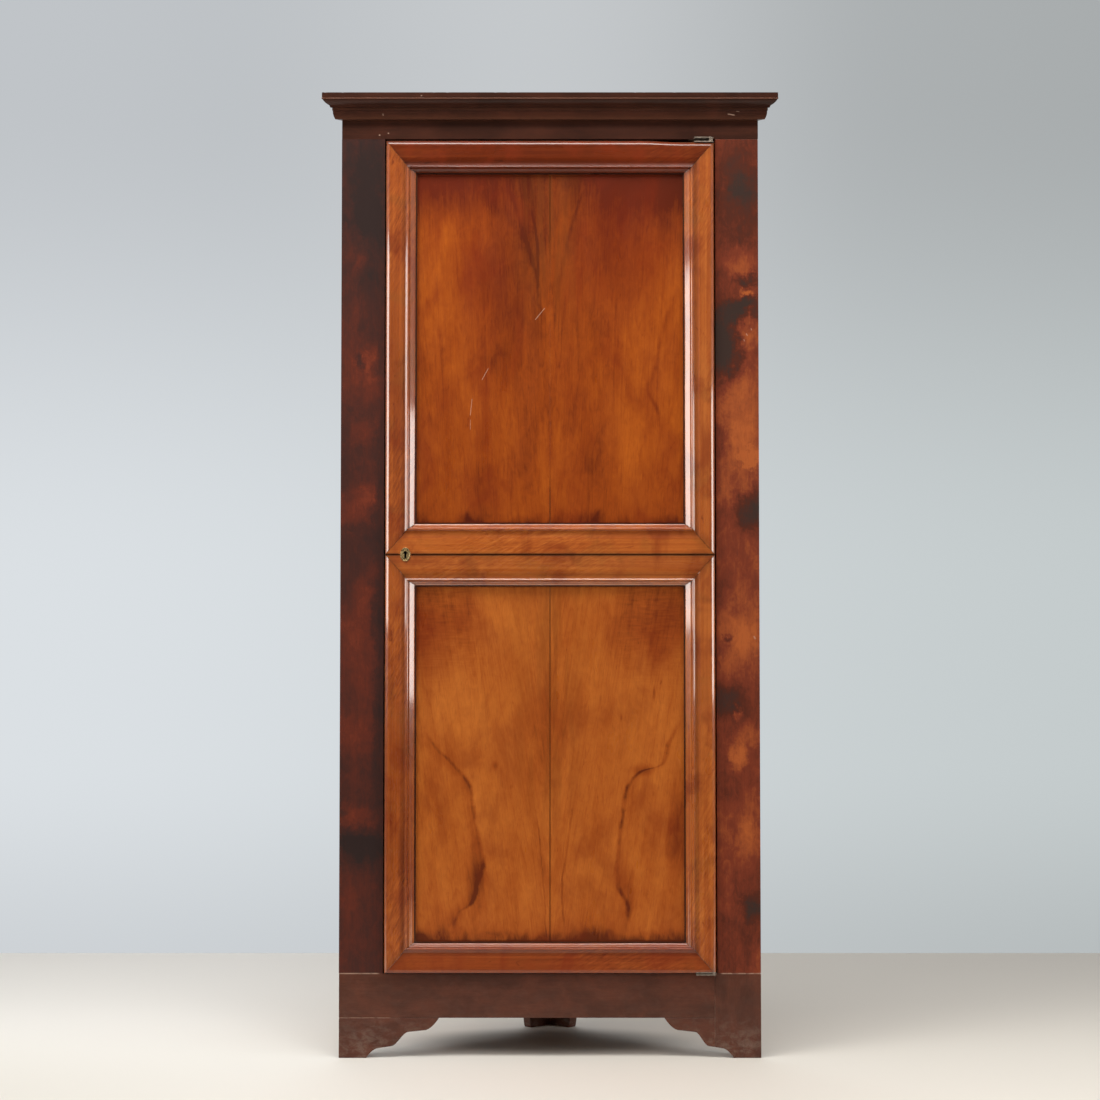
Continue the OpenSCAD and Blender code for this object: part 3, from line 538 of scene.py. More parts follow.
@dataclass(frozen=True)
class WoodFinish:
    """Wood with fibres, pores and a broad figure, under a polish."""

    name: str
    dark: Colour
    middle: Colour
    light: Colour
    figure: float = 0.55
    fibre: float = 0.35
    pores: float = 0.5
    rough: float = 0.30
    coat: float = 0.25
    coat_rough: float = 0.10
    coat_ior: float = 1.5
    specular: float = 0.3
    wave: float = 0.2 * MM
    fine: float = 0.012 * MM
    shift: float = 0.0
    # Colour of old polish, and of painted shade in the mouldings' hollows and joints.
    dirt_and_shade: Colour = shade(34, 18, 12)
    # Colour of rubbed polish, which also paints highlights and a reflection on the cornice.
    worn: Colour = shade(150, 98, 74)
    bare: Colour = shade(204, 170, 148)
    spots: tuple[Spot, ...] = ()
    rubs: tuple[Rub, ...] = ()
    scratches: tuple[Scratch, ...] = ()

    def tone(self, sketch: WoodSketch) -> Number:
        """Draws how light the wood is.

        Args:
            sketch: the drawing.

        Returns:
            The tone, 0 for the darkest.
        """
        broad = sketch.noise(sketch.along, Waves((9.0, 9.0, 1.3), 4.0, 0.55, 0.7))
        bands = sketch.noise(sketch.along, Waves((48.0, 48.0, 2.2), 2.0, 0.5, 0.5))
        tone = bands.swing(self.figure * 0.7, broad.swing(2 * self.figure, 0.5 + self.shift))
        return sketch.fibres.swing(self.fibre, tone)

    def colour(self, sketch: WoodSketch, tone: Number) -> Socket:
        """Colours the tone."""
        return sketch.ramp(tone, (0.08, self.dark), (0.5, self.middle), (0.92, self.light))

    def patched(self, sketch: WoodSketch, tone: Number) -> Number:
        """Adds the spots to the tone.

        Args:
            sketch: the drawing.
            tone: the tone without them.

        Returns:
            The tone with them.
        """
        if not self.spots:
            return tone
        bend = sketch.put("ShaderNodeTexNoise")
        for key, value in (("Vector", sketch.where), ("Scale", 26.0), ("Detail", 5.0), ("Roughness", 0.72)):
            sketch.feed(bend.inputs[key], value)
        shift = sketch.put("ShaderNodeVectorMath", operation="MULTIPLY_ADD")
        sketch.fill(shift, bend.outputs["Color"], (0.07, 0.07, 0.10), (-0.035, -0.035, -0.05))
        ragged = sketch.vectors("ADD", sketch.where, shift.outputs[0]).outputs[0]
        for spot in self.spots:
            tone += spot.strength(sketch, ragged)
        return tone

    def rubbed(self, sketch: WoodSketch, colour: Socket) -> Socket:
        """Lays the pale rubbed lines and marks over the colour.

        Args:
            sketch: the drawing.
            colour: the colour without them.

        Returns:
            The colour with them.
        """
        if not self.rubs and not self.scratches:
            return colour
        ragged = sketch.noise(sketch.where, Waves((70.0, 70.0, 70.0), 4.0, 0.6)).between(0.30, 0.52, 0.15, 0.8)
        marks = [rub.strength(sketch, ragged) for rub in self.rubs]
        marks += [scratch.strength(sketch) for scratch in self.scratches]
        worn = sketch.maths("MINIMUM", sum(marks[1:], marks[0]), 0.9)
        return sketch.blend(worn, colour, self.bare)

    def matt(self, sketch: WoodSketch) -> Value:
        """Gives what the roughness gains where the wood has no polish: nothing here."""
        return 0.0

    @lru_cache(maxsize=None)
    def material(self, grain: Grain) -> bpy.types.Material:
        """Makes the material for one way of the grain.

        Args:
            grain: the way of the fibres.

        Returns:
            The material.
        """
        sketch = WoodSketch(self.name, grain)
        along, fibres = sketch.along, sketch.fibres
        pores = sketch.noise(along, Waves((1500.0, 1500.0, 60.0), 1.0)).between(0.60, 0.72, 0.0, self.pores)
        dashes = sketch.noise(along, Waves((560.0, 560.0, 40.0), 2.0, 0.6, 0.4)).between(0.58, 0.70, 0.0, self.pores)
        pores = sketch.maths("MAXIMUM", pores, dashes * 0.75)
        colour = self.rubbed(sketch, self.colour(sketch, self.patched(sketch, self.tone(sketch))))
        colour = sketch.blend(pores * 0.55, colour, self.dark)
        # The mesh's grime attribute darkens with old polish and painted shade, and below 0 pales with rubbed polish
        # and painted highlights.
        dirt_wear_and_painted_light = Number(sketch, sketch.put("ShaderNodeAttribute", attribute_name="dirt_wear_and_painted_light").outputs["Fac"])
        colour = sketch.blend(dirt_wear_and_painted_light * -1.0, sketch.blend(dirt_wear_and_painted_light, colour, self.dirt_and_shade), self.worn)
        cloud = sketch.noise(along, Waves((16.0, 16.0, 5.0), 3.0, 0.6))
        rough = cloud.swing(0.16, self.rough) + pores * 0.12 + self.matt(sketch)
        sketch.polish(colour, rough, self.coat, self.coat_rough, 0.0, self.specular, self.coat_ior)
        swell = sketch.noise(along, Waves((14.0, 14.0, 2.6), 1.0, 0.5))
        sketch.relief(swell * (self.wave * 2) + fibres * self.fine - pores * self.fine, 1.0)
        return sketch.material


@dataclass(frozen=True)
class MottledFinish(WoodFinish):
    """Dark polished walnut with soft clouds, red where the polish is thin."""

    cloud: float = 0.9
    bias: float = 0.0
    streak: float = 0.3
    brush: float = 0.22
    flame: Colour = shade(176, 84, 42)

    def tone(self, sketch: WoodSketch) -> Number:
        """Draws the clouds.

        Args:
            sketch: the drawing.

        Returns:
            The tone, 0 for the darkest.
        """
        tone = 0.36 + self.bias
        for gain, waves in ((2 * self.cloud, Waves((15.0, 15.0, 9.0), 5.0, 0.6, 0.5)),
                            (self.streak, Waves((60.0, 60.0, 6.0), 4.0, 0.65, 0.4)),
                            (self.brush, Waves((75.0, 75.0, 38.0), 5.0, 0.7, 1.2))):
            tone = sketch.noise(sketch.along, waves).swing(gain, tone)
        return sketch.fibres.swing(self.fibre, tone)

    def colour(self, sketch: WoodSketch, tone: Number) -> Socket:
        """Colours the clouds from near black through brown and red to orange."""
        return sketch.ramp(tone, (0.04, self.dark), (0.34, self.middle), (0.62, self.light), (0.97, self.flame))


@dataclass(frozen=True)
class FiguredFinish(WoodFinish):
    """Bright polished walnut that turns from red to olive, with slanting curls and dark flecks."""

    red: Colour = shade(124, 44, 17)
    olive: Colour = shade(134, 88, 36)
    curl: float = 0.5
    lean: float = 24.0
    reds: float = 0.6
    greens: float = 0.22

    def tone(self, sketch: WoodSketch) -> Number:
        """Draws the figure, its curls and its flecks.

        Args:
            sketch: the drawing.

        Returns:
            The tone, 0 for the darkest.
        """
        along, turn = sketch.along, math.radians(self.lean)
        x, _, z = sketch.split(along)
        slanted = sketch.joined(x * math.cos(turn) - z * math.sin(turn), 0.0, x * math.sin(turn) + z * math.cos(turn))
        curls = sketch.noise(slanted, Waves((230.0, 1.0, 34.0), 4.0, 0.6, 0.5)) - 0.5
        where = sketch.noise(along, Waves((5.0, 5.0, 3.2), 2.0, 0.5)).between(0.46, 0.62, 0.12, 1.0)
        lines = sketch.noise(along, Waves((210.0, 210.0, 1.8), 3.0, 0.6, 0.3)).swing(0.5)
        flecks = sketch.noise(along, Waves((90.0, 90.0, 26.0), 3.0, 0.6, 0.8)).between(0.64, 0.76, 0.0, 0.34)
        return super().tone(sketch) + curls * where * (2 * self.curl) + lines - flecks

    def colour(self, sketch: WoodSketch, tone: Number) -> Socket:
        """Colours the figure, redder and greener in places.

        Args:
            sketch: the drawing.
            tone: how light the wood is.

        Returns:
            The wood's colour.
        """
        place = sketch.where
        away = sketch.vectors("ADD", place, (3.0, 0.0, 5.0)).outputs[0]
        warm = sketch.noise(place, Waves((14.0, 14.0, 10.0), 4.0, 0.6, 0.5)).between(0.44, 0.66, 0.0, self.reds)
        green = sketch.noise(away, Waves((15.0, 15.0, 15.0), 4.0, 0.6, 0.5)).between(0.50, 0.70, 0.0, self.greens)
        return sketch.blend(green, sketch.blend(warm, super().colour(sketch, tone), self.red), self.olive)


@dataclass(frozen=True)
class FootFinish(MottledFinish):
    """The mottled finish, scuffed and dusty towards the floor."""

    dusty: Colour = shade(120, 98, 86)
    dust_h: float = 105 * MM

    def colour(self, sketch: WoodSketch, tone: Number) -> Socket:
        """Colours the clouds and lays the scuffs over them.

        Args:
            sketch: the drawing.
            tone: how light the wood is.

        Returns:
            The wood's colour.
        """
        scuffs = sketch.noise(sketch.where, Waves((42.0, 42.0, 60.0), 5.0, 0.7, 0.4)).between(0.40, 0.72)
        low = sketch.z.between(0.0, self.dust_h, 0.75, 0.06)
        return sketch.blend(low * scuffs, super().colour(sketch, tone), self.dusty)


@dataclass(frozen=True)
class Vein:
    """A dark line of the figure on one board, through places on the front, from its foot up."""

    places: tuple[Point, ...]
    width: float
    strength: float
    stain: float = 0.0
    stain_w: float = 35 * MM
    span: float = 0.3

    def draw(self, sketch: WoodSketch, wander: Number) -> Number:
        """Draws the line.

        Args:
            sketch: the drawing.
            wander: a noise about 0.5 that makes the line unsteady.

        Returns:
            How dark it is there.
        """
        side = 1.0 if self.places[0][0] > 0 else -1.0
        low, high = self.places[0][1], self.places[-1][1]
        drawn = [((at - low) / (high - low), abs(over) / self.span) for over, at in self.places]
        share = (sketch.z - low) / (high - low)
        off = sketch.x * side - wander.swing(12 * MM, sketch.curve(share, drawn) * self.span)
        line = abs(off).between(0.0, self.width, self.strength, 0.0)
        inside = off.between(0.0, self.stain_w, self.stain, 0.0) * off.between(-2 * MM, 2 * MM)
        window = abs(share - 0.5).between(0.40, 0.5, 1.0, 0.0)
        return sketch.maths("MAXIMUM", line, inside) * window * wander.between(0.30, 0.62, 1.25, 0.45)


@dataclass(frozen=True)
class PanelFinish(WoodFinish):
    """Two boards opened like a book, so that the broad figure is mirrored at the seam."""

    low: float = 0.2375
    high: float = 0.973
    spread: float = 0.12
    back_y: float = -0.189
    ring: float = 0.08
    cloud: float = 0.55
    curl: float = 0.0
    seam_at: float = 0.6
    closed: tuple[float, ...] = ()
    red: Colour = shade(120, 38, 12)
    olive: Colour = shade(124, 62, 20)
    seam: Colour = shade(60, 26, 14)
    veins: tuple[Vein, ...] = ()
    glows: tuple[Spot, ...] = ()
    reds: tuple[Spot, ...] = ()

    def tone(self, sketch: WoodSketch) -> Number:
        """Draws the mirrored figure, the veins, the smudges over the lower moulding and a darker band along the
        panel's foot.

        Args:
            sketch: the drawing.

        Returns:
            The tone, 0 for the darkest.
        """
        x, z, across = sketch.x, sketch.z, abs(sketch.x)
        foot = z - self.low
        mirrored = sketch.joined(across - foot * self.spread, 0.0, z)
        plain = sketch.joined(x, 0.0, z)
        tone = sketch.noise(mirrored, Waves((9.0, 9.0, 3.6), 4.0, 0.55, 0.9)).swing(self.cloud, 0.5 + self.shift)
        for vector, gain, waves in ((mirrored, 0.46, Waves((42.0, 42.0, 3.0), 6.0, 0.68, 0.8)),
                                    (mirrored, 0.16, Waves((330.0, 330.0, 12.0), 3.0, 0.65, 0.2)),
                                    (plain, 0.55, Waves((15.0, 15.0, 7.0), 5.0, 0.6, 0.5)),
                                    (plain, 0.44, Waves((52.0, 52.0, 27.0), 6.0, 0.68, 1.3))):
            tone += sketch.noise(vector, waves).swing(gain)
        flecks = sketch.noise(plain, Waves((120.0, 120.0, 30.0), 3.0, 0.6, 0.8))
        rings = sketch.noise(mirrored, Waves((34.0, 34.0, 1.7), 4.0, 0.55, 0.7))
        tone += flecks.between(0.66, 0.78, 0.0, -0.22)
        tone += sketch.maths("PINGPONG", rings * 22.0, 1.0).between(0.0, 0.34, -self.ring, 0.02)
        if self.curl:
            ripple = sketch.noise(plain, Waves((26.0, 26.0, 210.0), 2.0, 0.5, 0.4)) - 0.5
            corner = across.between(0.10, 0.20) * z.between(self.high - 0.3, self.high - 0.1)
            tone += ripple * (corner * self.curl)
        wander = sketch.noise(plain, Waves((20.0, 20.0, 20.0), 4.0, 0.6))
        for vein in self.veins:
            tone -= vein.draw(sketch, wander)
        smudge = sketch.noise(plain, Waves((17.0, 17.0, 9.0), 4.0, 0.55, 0.8))
        worn = (smudge * -0.10 + (foot + 0.047)).between(-0.012, 0.026, 0.42, 0.0)
        return tone - (worn + foot.between(0.0, 0.006, 0.25, 0.0))

    def patched(self, sketch: WoodSketch, tone: Number) -> Number:
        """Adds the soft lighter and darker areas to the tone.

        Args:
            sketch: the drawing.
            tone: the tone without them.

        Returns:
            The tone with them.
        """
        for glow in self.glows:
            tone += glow.strength(sketch, sketch.where)
        return tone

    def colour(self, sketch: WoodSketch, tone: Number) -> Socket:
        """Colours the figure, redder in places and browner near the seam.

        Args:
            sketch: the drawing.
            tone: how light the wood is.

        Returns:
            The wood's colour.
        """
        place, z, across = sketch.where, sketch.z, abs(sketch.x)
        seam = across.between(0.5 * MM, 1.9 * MM, 0.6, 0.0)
        if self.closed:
            middle, half = sum(self.closed) / 2, (self.closed[1] - self.closed[0]) / 2
            seam *= abs(z - middle).between(half - 0.02, half + 0.01, 0.12, 1.0)
        blush = sketch.noise(place, Waves((11.0, 11.0, 6.0), 4.0, 0.6, 0.6)).between(0.45, 0.75, 0.0, 0.5)
        for spot in self.reds:
            blush += spot.strength(sketch, place)
        plain = sketch.blend(seam, super().colour(sketch, tone), self.seam)
        plain = sketch.blend(sketch.maths("MINIMUM", blush, 0.85), plain, self.red)
        streaks = sketch.noise(place, Waves((70.0, 70.0, 5.0), 3.0, 0.6, 0.3)).between(0.36, 0.64, 0.0, 0.42)
        tall = self.high - self.low
        rise = z.between(self.low + tall * (self.seam_at - 0.35), self.low + tall * self.seam_at)
        return sketch.blend(across.between(0.01, 0.10, 1.0, 0.0) * rise * streaks, plain, self.olive)

    def rubbed(self, sketch: WoodSketch, colour: Socket) -> Socket:
        """Lays the marks over the front only, and gives the back its plain planed wood.

        Args:
            sketch: the drawing.
            colour: the colour without them.

        Returns:
            The colour with them.
        """
        fibres = sketch.noise(sketch.where, Waves((75.0, 75.0, 2.6), 5.0, 0.62, 0.5))
        planed = sketch.ramp(fibres, (0.15, shade(98, 58, 33)), (0.85, shade(140, 92, 56)))
        return sketch.blend(self.behind(sketch), super().rubbed(sketch, colour), planed)

    def behind(self, sketch: WoodSketch) -> Number:
        """Gives 1 on the back of the panel and 0 on its front."""
        return sketch.y.between(self.back_y - 0.4 * MM, self.back_y + 0.4 * MM)

    def matt(self, sketch: WoodSketch) -> Value:
        """Gives what the roughness gains on the unpolished back."""
        return self.behind(sketch) * 0.35


@dataclass(frozen=True)
class MetalFinish:
    """Handled metal with patches of tarnish and fine marks."""

    name: str
    bright: Colour
    dull: Colour
    rough: float = 0.35
    tarnish: float = 0.5
    scale: float = 160.0
    metal: float = 1.0

    @lru_cache(maxsize=None)
    def material(self) -> bpy.types.Material:
        """Makes the material.

        Returns:
            The material.
        """
        sketch = MaterialSketch(self.name)
        cloud = sketch.noise(sketch.where, Waves((self.scale,) * 3, 5.0, 0.62, 0.4))
        marks = sketch.noise(sketch.where, Waves((2600.0, 2600.0, 260.0), 2.0, 0.6))
        share = cloud.between(0.35, 0.68, 0.0, self.tarnish)
        rough = share * 0.25 + marks.swing(0.14, self.rough)
        sketch.polish(sketch.blend(share, self.bright, self.dull), rough, metal=self.metal)
        sketch.relief(cloud * (0.25 * MM) + marks * (0.03 * MM), 0.8)
        return sketch.material


MOULDING = FiguredFinish(
    "moulding_walnut", shade(112, 44, 18), shade(174, 88, 34), shade(214, 126, 56), figure=0.46, fibre=0.26,
    rough=0.28, coat=1.0, coat_rough=0.07, coat_ior=2.1)
MOULDING_SOFT = replace(MOULDING, name="soft_moulding_walnut", coat_rough=0.12, coat_ior=1.45)
MOULDING_RED = FiguredFinish(
    "red_moulding_walnut", shade(64, 20, 6), shade(102, 38, 11), shade(140, 64, 24), figure=0.42, fibre=0.3,
    rough=0.28, coat=1.0, coat_rough=0.08, coat_ior=1.42, greens=0.0)
MOULDING_LOW = FiguredFinish(
    "low_moulding_walnut", shade(92, 34, 12), shade(142, 64, 24), shade(178, 94, 40), figure=0.42, fibre=0.3,
    rough=0.32, coat=0.8, coat_rough=0.12, coat_ior=1.45, greens=0.08)
DOOR_FRAME = WoodFinish(
    "door_walnut", shade(84, 44, 24), shade(122, 70, 38), shade(150, 96, 58), rough=0.5, coat=0.1)
CORNICE = MottledFinish(
    "cornice_walnut", shade(38, 22, 17), shade(54, 30, 22), shade(78, 42, 30), cloud=0.26, bias=0.05,
    flame=shade(112, 54, 36), fibre=0.2, streak=0.25, rough=0.32, coat=0.25, coat_rough=0.1, specular=0.12,
    scratches=(
        Scratch((-0.3575, 1.9185), (-0.357, 1.9185), 0.0018, 0.6),
        Scratch((-0.339, 1.9225), (-0.3385, 1.9225), 0.0016, 0.6),
        Scratch((-0.349, 1.959), (-0.3485, 1.9565), 0.0012, 0.45),
        Scratch((-0.268, 1.9925), (-0.267, 1.9925), 0.0014, 0.5),
        Scratch((0.372, 1.959), (0.385, 1.957), 0.0013, 0.45), Scratch((0.39, 1.965), (0.395, 1.964), 0.001, 0.4)))
LEFT_STILE = MottledFinish(
    "left_stile_walnut", shade(50, 38, 36), shade(72, 41, 35), shade(98, 46, 34), cloud=0.36, bias=0.01, brush=0.48,
    flame=shade(136, 62, 40), fibre=0.16, streak=0.16, rough=0.36, coat=0.2, coat_rough=0.14, specular=0.1,
    spots=patches(
        (-0.412, 1.674, 0.055, 0.05, 0.22), (-0.382, 1.782, 0.03, 0.09, 0.06), (-0.405, 1.78, 0.07, 0.22, -0.26),
        (-0.4, 1.425, 0.08, 0.085, 0.2), (-0.376, 1.439, 0.022, 0.036, 0.26), (-0.398, 1.441, 0.012, 0.024, -0.3),
        (-0.389, 1.294, 0.04, 0.034, 0.22), (-0.405, 1.133, 0.07, 0.058, 0.3), (-0.376, 1.16, 0.028, 0.04, 0.22),
        (-0.416, 0.882, 0.06, 0.07, 0.26), (-0.38, 0.945, 0.04, 0.05, 0.22), (-0.422, 0.668, 0.07, 0.085, 0.32),
        (-0.41, 0.497, 0.05, 0.03, 0.32), (-0.412, 0.437, 0.05, 0.048, -0.42), (-0.372, 0.43, 0.036, 0.06, -0.34),
        # The tall narrow patch at x -0.352 is painted shade along the door's edge.
        (-0.41, 0.3, 0.08, 0.14, 0.14), (-0.352, 0.9, 0.022, 0.9, -0.22), (-0.368, 1.79, 0.05, 0.24, -0.34),
        (-0.395, 0.8, 0.07, 0.1, 0.2)),
    rubs=(Rub(True, 0.1735, -0.44, -0.35),))
RIGHT_STILE = MottledFinish(
    "right_stile_walnut", shade(60, 46, 41), shade(86, 42, 30), shade(122, 56, 37), cloud=0.38, bias=0.14,
    brush=0.54, flame=shade(172, 90, 46), fibre=0.16, streak=0.18, rough=0.36, coat=0.18, coat_rough=0.12,
    specular=0.1,
    spots=patches(
        (0.397, 1.88, 0.06, 0.06, -0.08), (0.403, 1.803, 0.034, 0.036, -0.34), (0.397, 1.657, 0.06, 0.07, 0.3),
        (0.412, 1.611, 0.036, 0.02, -0.5), (0.414, 1.584, 0.02, 0.013, 0.4), (0.405, 1.556, 0.05, 0.03, -0.62),
        (0.36, 1.468, 0.05, 0.105, -0.56, 0.35), (0.414, 1.497, 0.045, 0.055, 0.3),
        (0.4, 1.353, 0.08, 0.125, 0.36, 0.3), (0.358, 1.296, 0.03, 0.06, -0.12),
        (0.42, 1.24, 0.032, 0.022, 0.4, 0.5), (0.4, 1.225, 0.06, 0.095, 0.26, 0.3),
        (0.42, 1.129, 0.045, 0.055, -0.4, 0.2), (0.391, 1.169, 0.02, 0.045, -0.22), (0.39, 1.02, 0.07, 0.1, 0.16),
        (0.4, 0.905, 0.075, 0.085, 0.28, 0.3), (0.37, 0.861, 0.015, 0.015, -0.4), (0.364, 0.737, 0.05, 0.05, -0.4),
        (0.387, 0.708, 0.016, 0.016, 0.35), (0.412, 0.666, 0.045, 0.04, 0.24), (0.387, 0.621, 0.02, 0.048, 0.36),
        (0.39, 0.56, 0.08, 0.16, 0.1), (0.412, 0.447, 0.032, 0.05, 0.22), (0.418, 0.307, 0.038, 0.036, -0.42),
        (0.395, 1.76, 0.07, 0.16, -0.26), (0.385, 1.165, 0.05, 0.045, 0.2), (0.39, 0.83, 0.08, 0.11, 0.22),
        (0.39, 0.43, 0.08, 0.13, 0.14)),
    rubs=(Rub(True, 0.1735, 0.35, 0.44),),
    scratches=(
        Scratch((0.424, 0.868), (0.426, 0.864), 0.0022, 0.35), Scratch((0.41, 1.5), (0.412, 1.497), 0.0014, 0.45),
        Scratch((0.42, 1.511), (0.421, 1.508), 0.0012, 0.45), Scratch((0.405, 1.488), (0.406, 1.485), 0.0012, 0.4)))
BASE = FootFinish(
    "base_walnut", shade(50, 31, 23), shade(80, 45, 33), shade(106, 58, 41), cloud=0.35, bias=0.02,
    flame=shade(132, 72, 48), fibre=0.1, streak=0.14, rough=0.4, coat=0.2, coat_rough=0.2, specular=0.18,
    rubs=(
        Rub(True, 0.1725, -0.44, -0.35), Rub(True, 0.0822, -0.44, -0.325), Rub(True, 0.1725, 0.35, 0.44),
        Rub(False, 0.3405, 0.035, 0.135, 0.22)),
    # The short pale mark by the bottom hinge is a painted glint of the hinge's iron.
    scratches=(Scratch((0.336, 0.1722), (0.343, 0.1724), 0.0013, 0.85),))
UPPER_PANEL = PanelFinish(
    "upper_panel_walnut", shade(86, 28, 8), shade(148, 65, 16), shade(184, 93, 25), low=1.103, high=1.8385,
    spread=0.05, rough=0.3, coat=0.24, coat_rough=0.25, shift=0.06, seam_at=0.75, closed=(1.17, 1.71),
    veins=(
        Vein(((-0.218, 1.36), (-0.224, 1.43), (-0.237, 1.52), (-0.266, 1.585)), 0.009, 0.16),
        Vein(((0.222, 1.26), (0.228, 1.33), (0.207, 1.385), (0.218, 1.42), (0.237, 1.51),
              (0.272, 1.6)), 0.009, 0.22),
        Vein(((-0.024, 1.545), (-0.027, 1.63), (-0.027, 1.69), (-0.04, 1.765)), 0.0045, 0.3),
        Vein(((0.02, 1.42), (0.026, 1.52), (0.03, 1.56)), 0.0035, 0.2),
        Vein(((0.01, 1.5), (0.018, 1.6), (0.044, 1.72), (0.074, 1.81)), 0.007, 0.2),
        Vein(((-0.012, 1.52), (-0.03, 1.62), (-0.064, 1.74), (-0.092, 1.82)), 0.007, 0.2)),
    glows=patches(
        (-0.245, 1.62, 0.09, 0.16, 0.18), (0.25, 1.6, 0.08, 0.16, 0.14), (0.2, 1.32, 0.16, 0.24, 0.12),
        (-0.16, 1.28, 0.14, 0.18, 0.05), (0.14, 1.72, 0.16, 0.24, -0.24), (-0.26, 1.85, 0.2, 0.16, -0.42),
        (0.26, 1.85, 0.22, 0.18, -0.46), (0.0, 1.88, 0.45, 0.17, -0.38), (-0.13, 1.6, 0.09, 0.2, -0.16),
        (-0.05, 1.66, 0.09, 0.26, -0.3), (-0.145, 1.2, 0.05, 0.16, -0.22), (0.1, 1.22, 0.05, 0.16, -0.2)),
    reds=patches(
        (0.15, 1.7, 0.15, 0.22, 0.45), (-0.14, 1.62, 0.1, 0.2, 0.35), (-0.22, 1.82, 0.16, 0.1, 0.4),
        (-0.16, 1.34, 0.1, 0.14, 0.2)),
    scratches=(
        Scratch((-0.0112, 1.554), (-0.0305, 1.5305), 0.0009, 0.55),
        Scratch((-0.129, 1.4275), (-0.142, 1.404), 0.0009, 0.5),
        Scratch((-0.1628, 1.3635), (-0.1663, 1.33), 0.0009, 0.45),
        Scratch((-0.1663, 1.32), (-0.1663, 1.3), 0.0008, 0.35)))
LOWER_PANEL = PanelFinish(
    "lower_panel_walnut", shade(98, 40, 14), shade(166, 82, 28), shade(198, 112, 44), low=0.2375, high=0.973,
    spread=0.14, rough=0.3, coat=0.24, coat_rough=0.25, shift=0.13, cloud=0.45, curl=0.45, seam_at=0.55,
    veins=(
        Vein(((-0.204, 0.245), (-0.19, 0.295), (-0.164, 0.317), (-0.152, 0.355), (-0.139, 0.399), (-0.146, 0.434),
              (-0.16, 0.507), (-0.168, 0.556), (-0.204, 0.605), (-0.237, 0.638),
              (-0.26, 0.677)), 0.0095, 0.5, 0.26),
        Vein(((0.2, 0.262), (0.167, 0.272), (0.162, 0.311), (0.141, 0.356), (0.141, 0.424), (0.15, 0.489),
              (0.162, 0.556), (0.187, 0.587), (0.233, 0.605), (0.25, 0.654), (0.276, 0.699)), 0.0095, 0.5, 0.12),
        Vein(((-0.008, 0.24), (-0.013, 0.352), (-0.028, 0.5)), 0.0028, 0.3),
        Vein(((0.031, 0.26), (0.026, 0.352), (0.035, 0.434), (0.05, 0.523)), 0.0028, 0.3)),
    glows=patches(
        (-0.148, 0.365, 0.026, 0.07, -0.28), (0.262, 0.48, 0.028, 0.16, -0.3), (0.19, 0.592, 0.034, 0.016, -0.36),
        (-0.113, 0.6, 0.008, 0.012, -0.3), (0.216, 0.752, 0.004, 0.022, -0.35), (0.148, 0.699, 0.003, 0.01, -0.35),
        (-0.23, 0.91, 0.13, 0.12, -0.24), (0.2, 0.91, 0.14, 0.12, -0.3), (-0.14, 0.5, 0.06, 0.09, 0.18),
        (-0.27, 0.245, 0.025, 0.025, -0.5), (0.24, 0.62, 0.1, 0.12, 0.14), (-0.16, 0.72, 0.12, 0.1, 0.12),
        (-0.02, 0.66, 0.07, 0.14, -0.16), (0.1, 0.252, 0.05, 0.022, -0.25), (-0.06, 0.9, 0.09, 0.1, 0.1),
        (0.0, 0.232, 0.5, 0.06, -0.17)),
    reds=patches((-0.26, 0.86, 0.09, 0.12, 0.45), (0.24, 0.88, 0.1, 0.12, 0.4), (0.262, 0.45, 0.03, 0.16, 0.2)))
PINE = WoodFinish(
    "aged_pine", shade(104, 68, 40), shade(160, 115, 72), shade(190, 148, 102), figure=0.5, fibre=0.3, pores=0.2,
    rough=0.62, coat=0.0, wave=0.0002)
BRASS = MetalFinish(
    "escutcheon_brass", shade(204, 176, 122), shade(50, 38, 26), rough=0.36, tarnish=0.95, scale=340.0, metal=0.8)
IRON = MetalFinish("hinge_iron", shade(172, 158, 144), shade(84, 66, 54), rough=0.42, tarnish=0.7, metal=0.6)
STEEL = MetalFinish("lock_steel", shade(150, 146, 140), shade(84, 74, 64), rough=0.34, tarnish=0.6)


def stood(name: str, mesh: bmesh.types.BMesh) -> bpy.types.Object:
    """Turns a finished mesh into an object.

    Args:
        name: the object's name.
        mesh: its mesh, in the cabinet's frame, which is used up.

    Returns:
        The new object.
    """
    bmesh.ops.recalc_face_normals(mesh, faces=mesh.faces)
    data = bpy.data.meshes.new(name)
    mesh.to_mesh(data)
    mesh.free()
    made = bpy.data.objects.new(name, data)
    bpy.context.scene.collection.objects.link(made)
    return made


def piece(name: str, mesh: bmesh.types.BMesh, body: str, material: bpy.types.Material, slot: str,
          replaced: str = "", sharp: float = 32.0) -> bpy.types.Object:
    """Turns a finished mesh into a piece of the cabinet.

    Args:
        name: the piece's name.
        mesh: its mesh, in the cabinet's frame.
        body: the body that it moves with.
        material: its material.
        slot: the slot of its finish, which is not used.
        replaced: the solid that it stands for, if any.
        sharp: the angle above which an edge is drawn sharp.

    Returns:
        The new object.
    """
    made = stood(name, mesh)
    made.data.shade_smooth()
    made.data.set_sharp_from_angle(angle=math.radians(sharp))
    made.data.materials.append(material)
    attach(made, body)
    if replaced:
        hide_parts(replaced)
    log.info("%s: %d faces on %s", name, len(made.data.polygons), body)
    return made


def modifier(solid: bpy.types.Object, kind: str, **settings: object) -> bpy.types.Modifier:
    """Puts a modifier on an object.

    Args:
        solid: the object.
        kind: the modifier's type.
        settings: what to set on it.

    Returns:
        The modifier.
    """
    made = solid.modifiers.new(kind.lower(), kind)
    for key, value in settings.items():
        setattr(made, key, value)
    return made


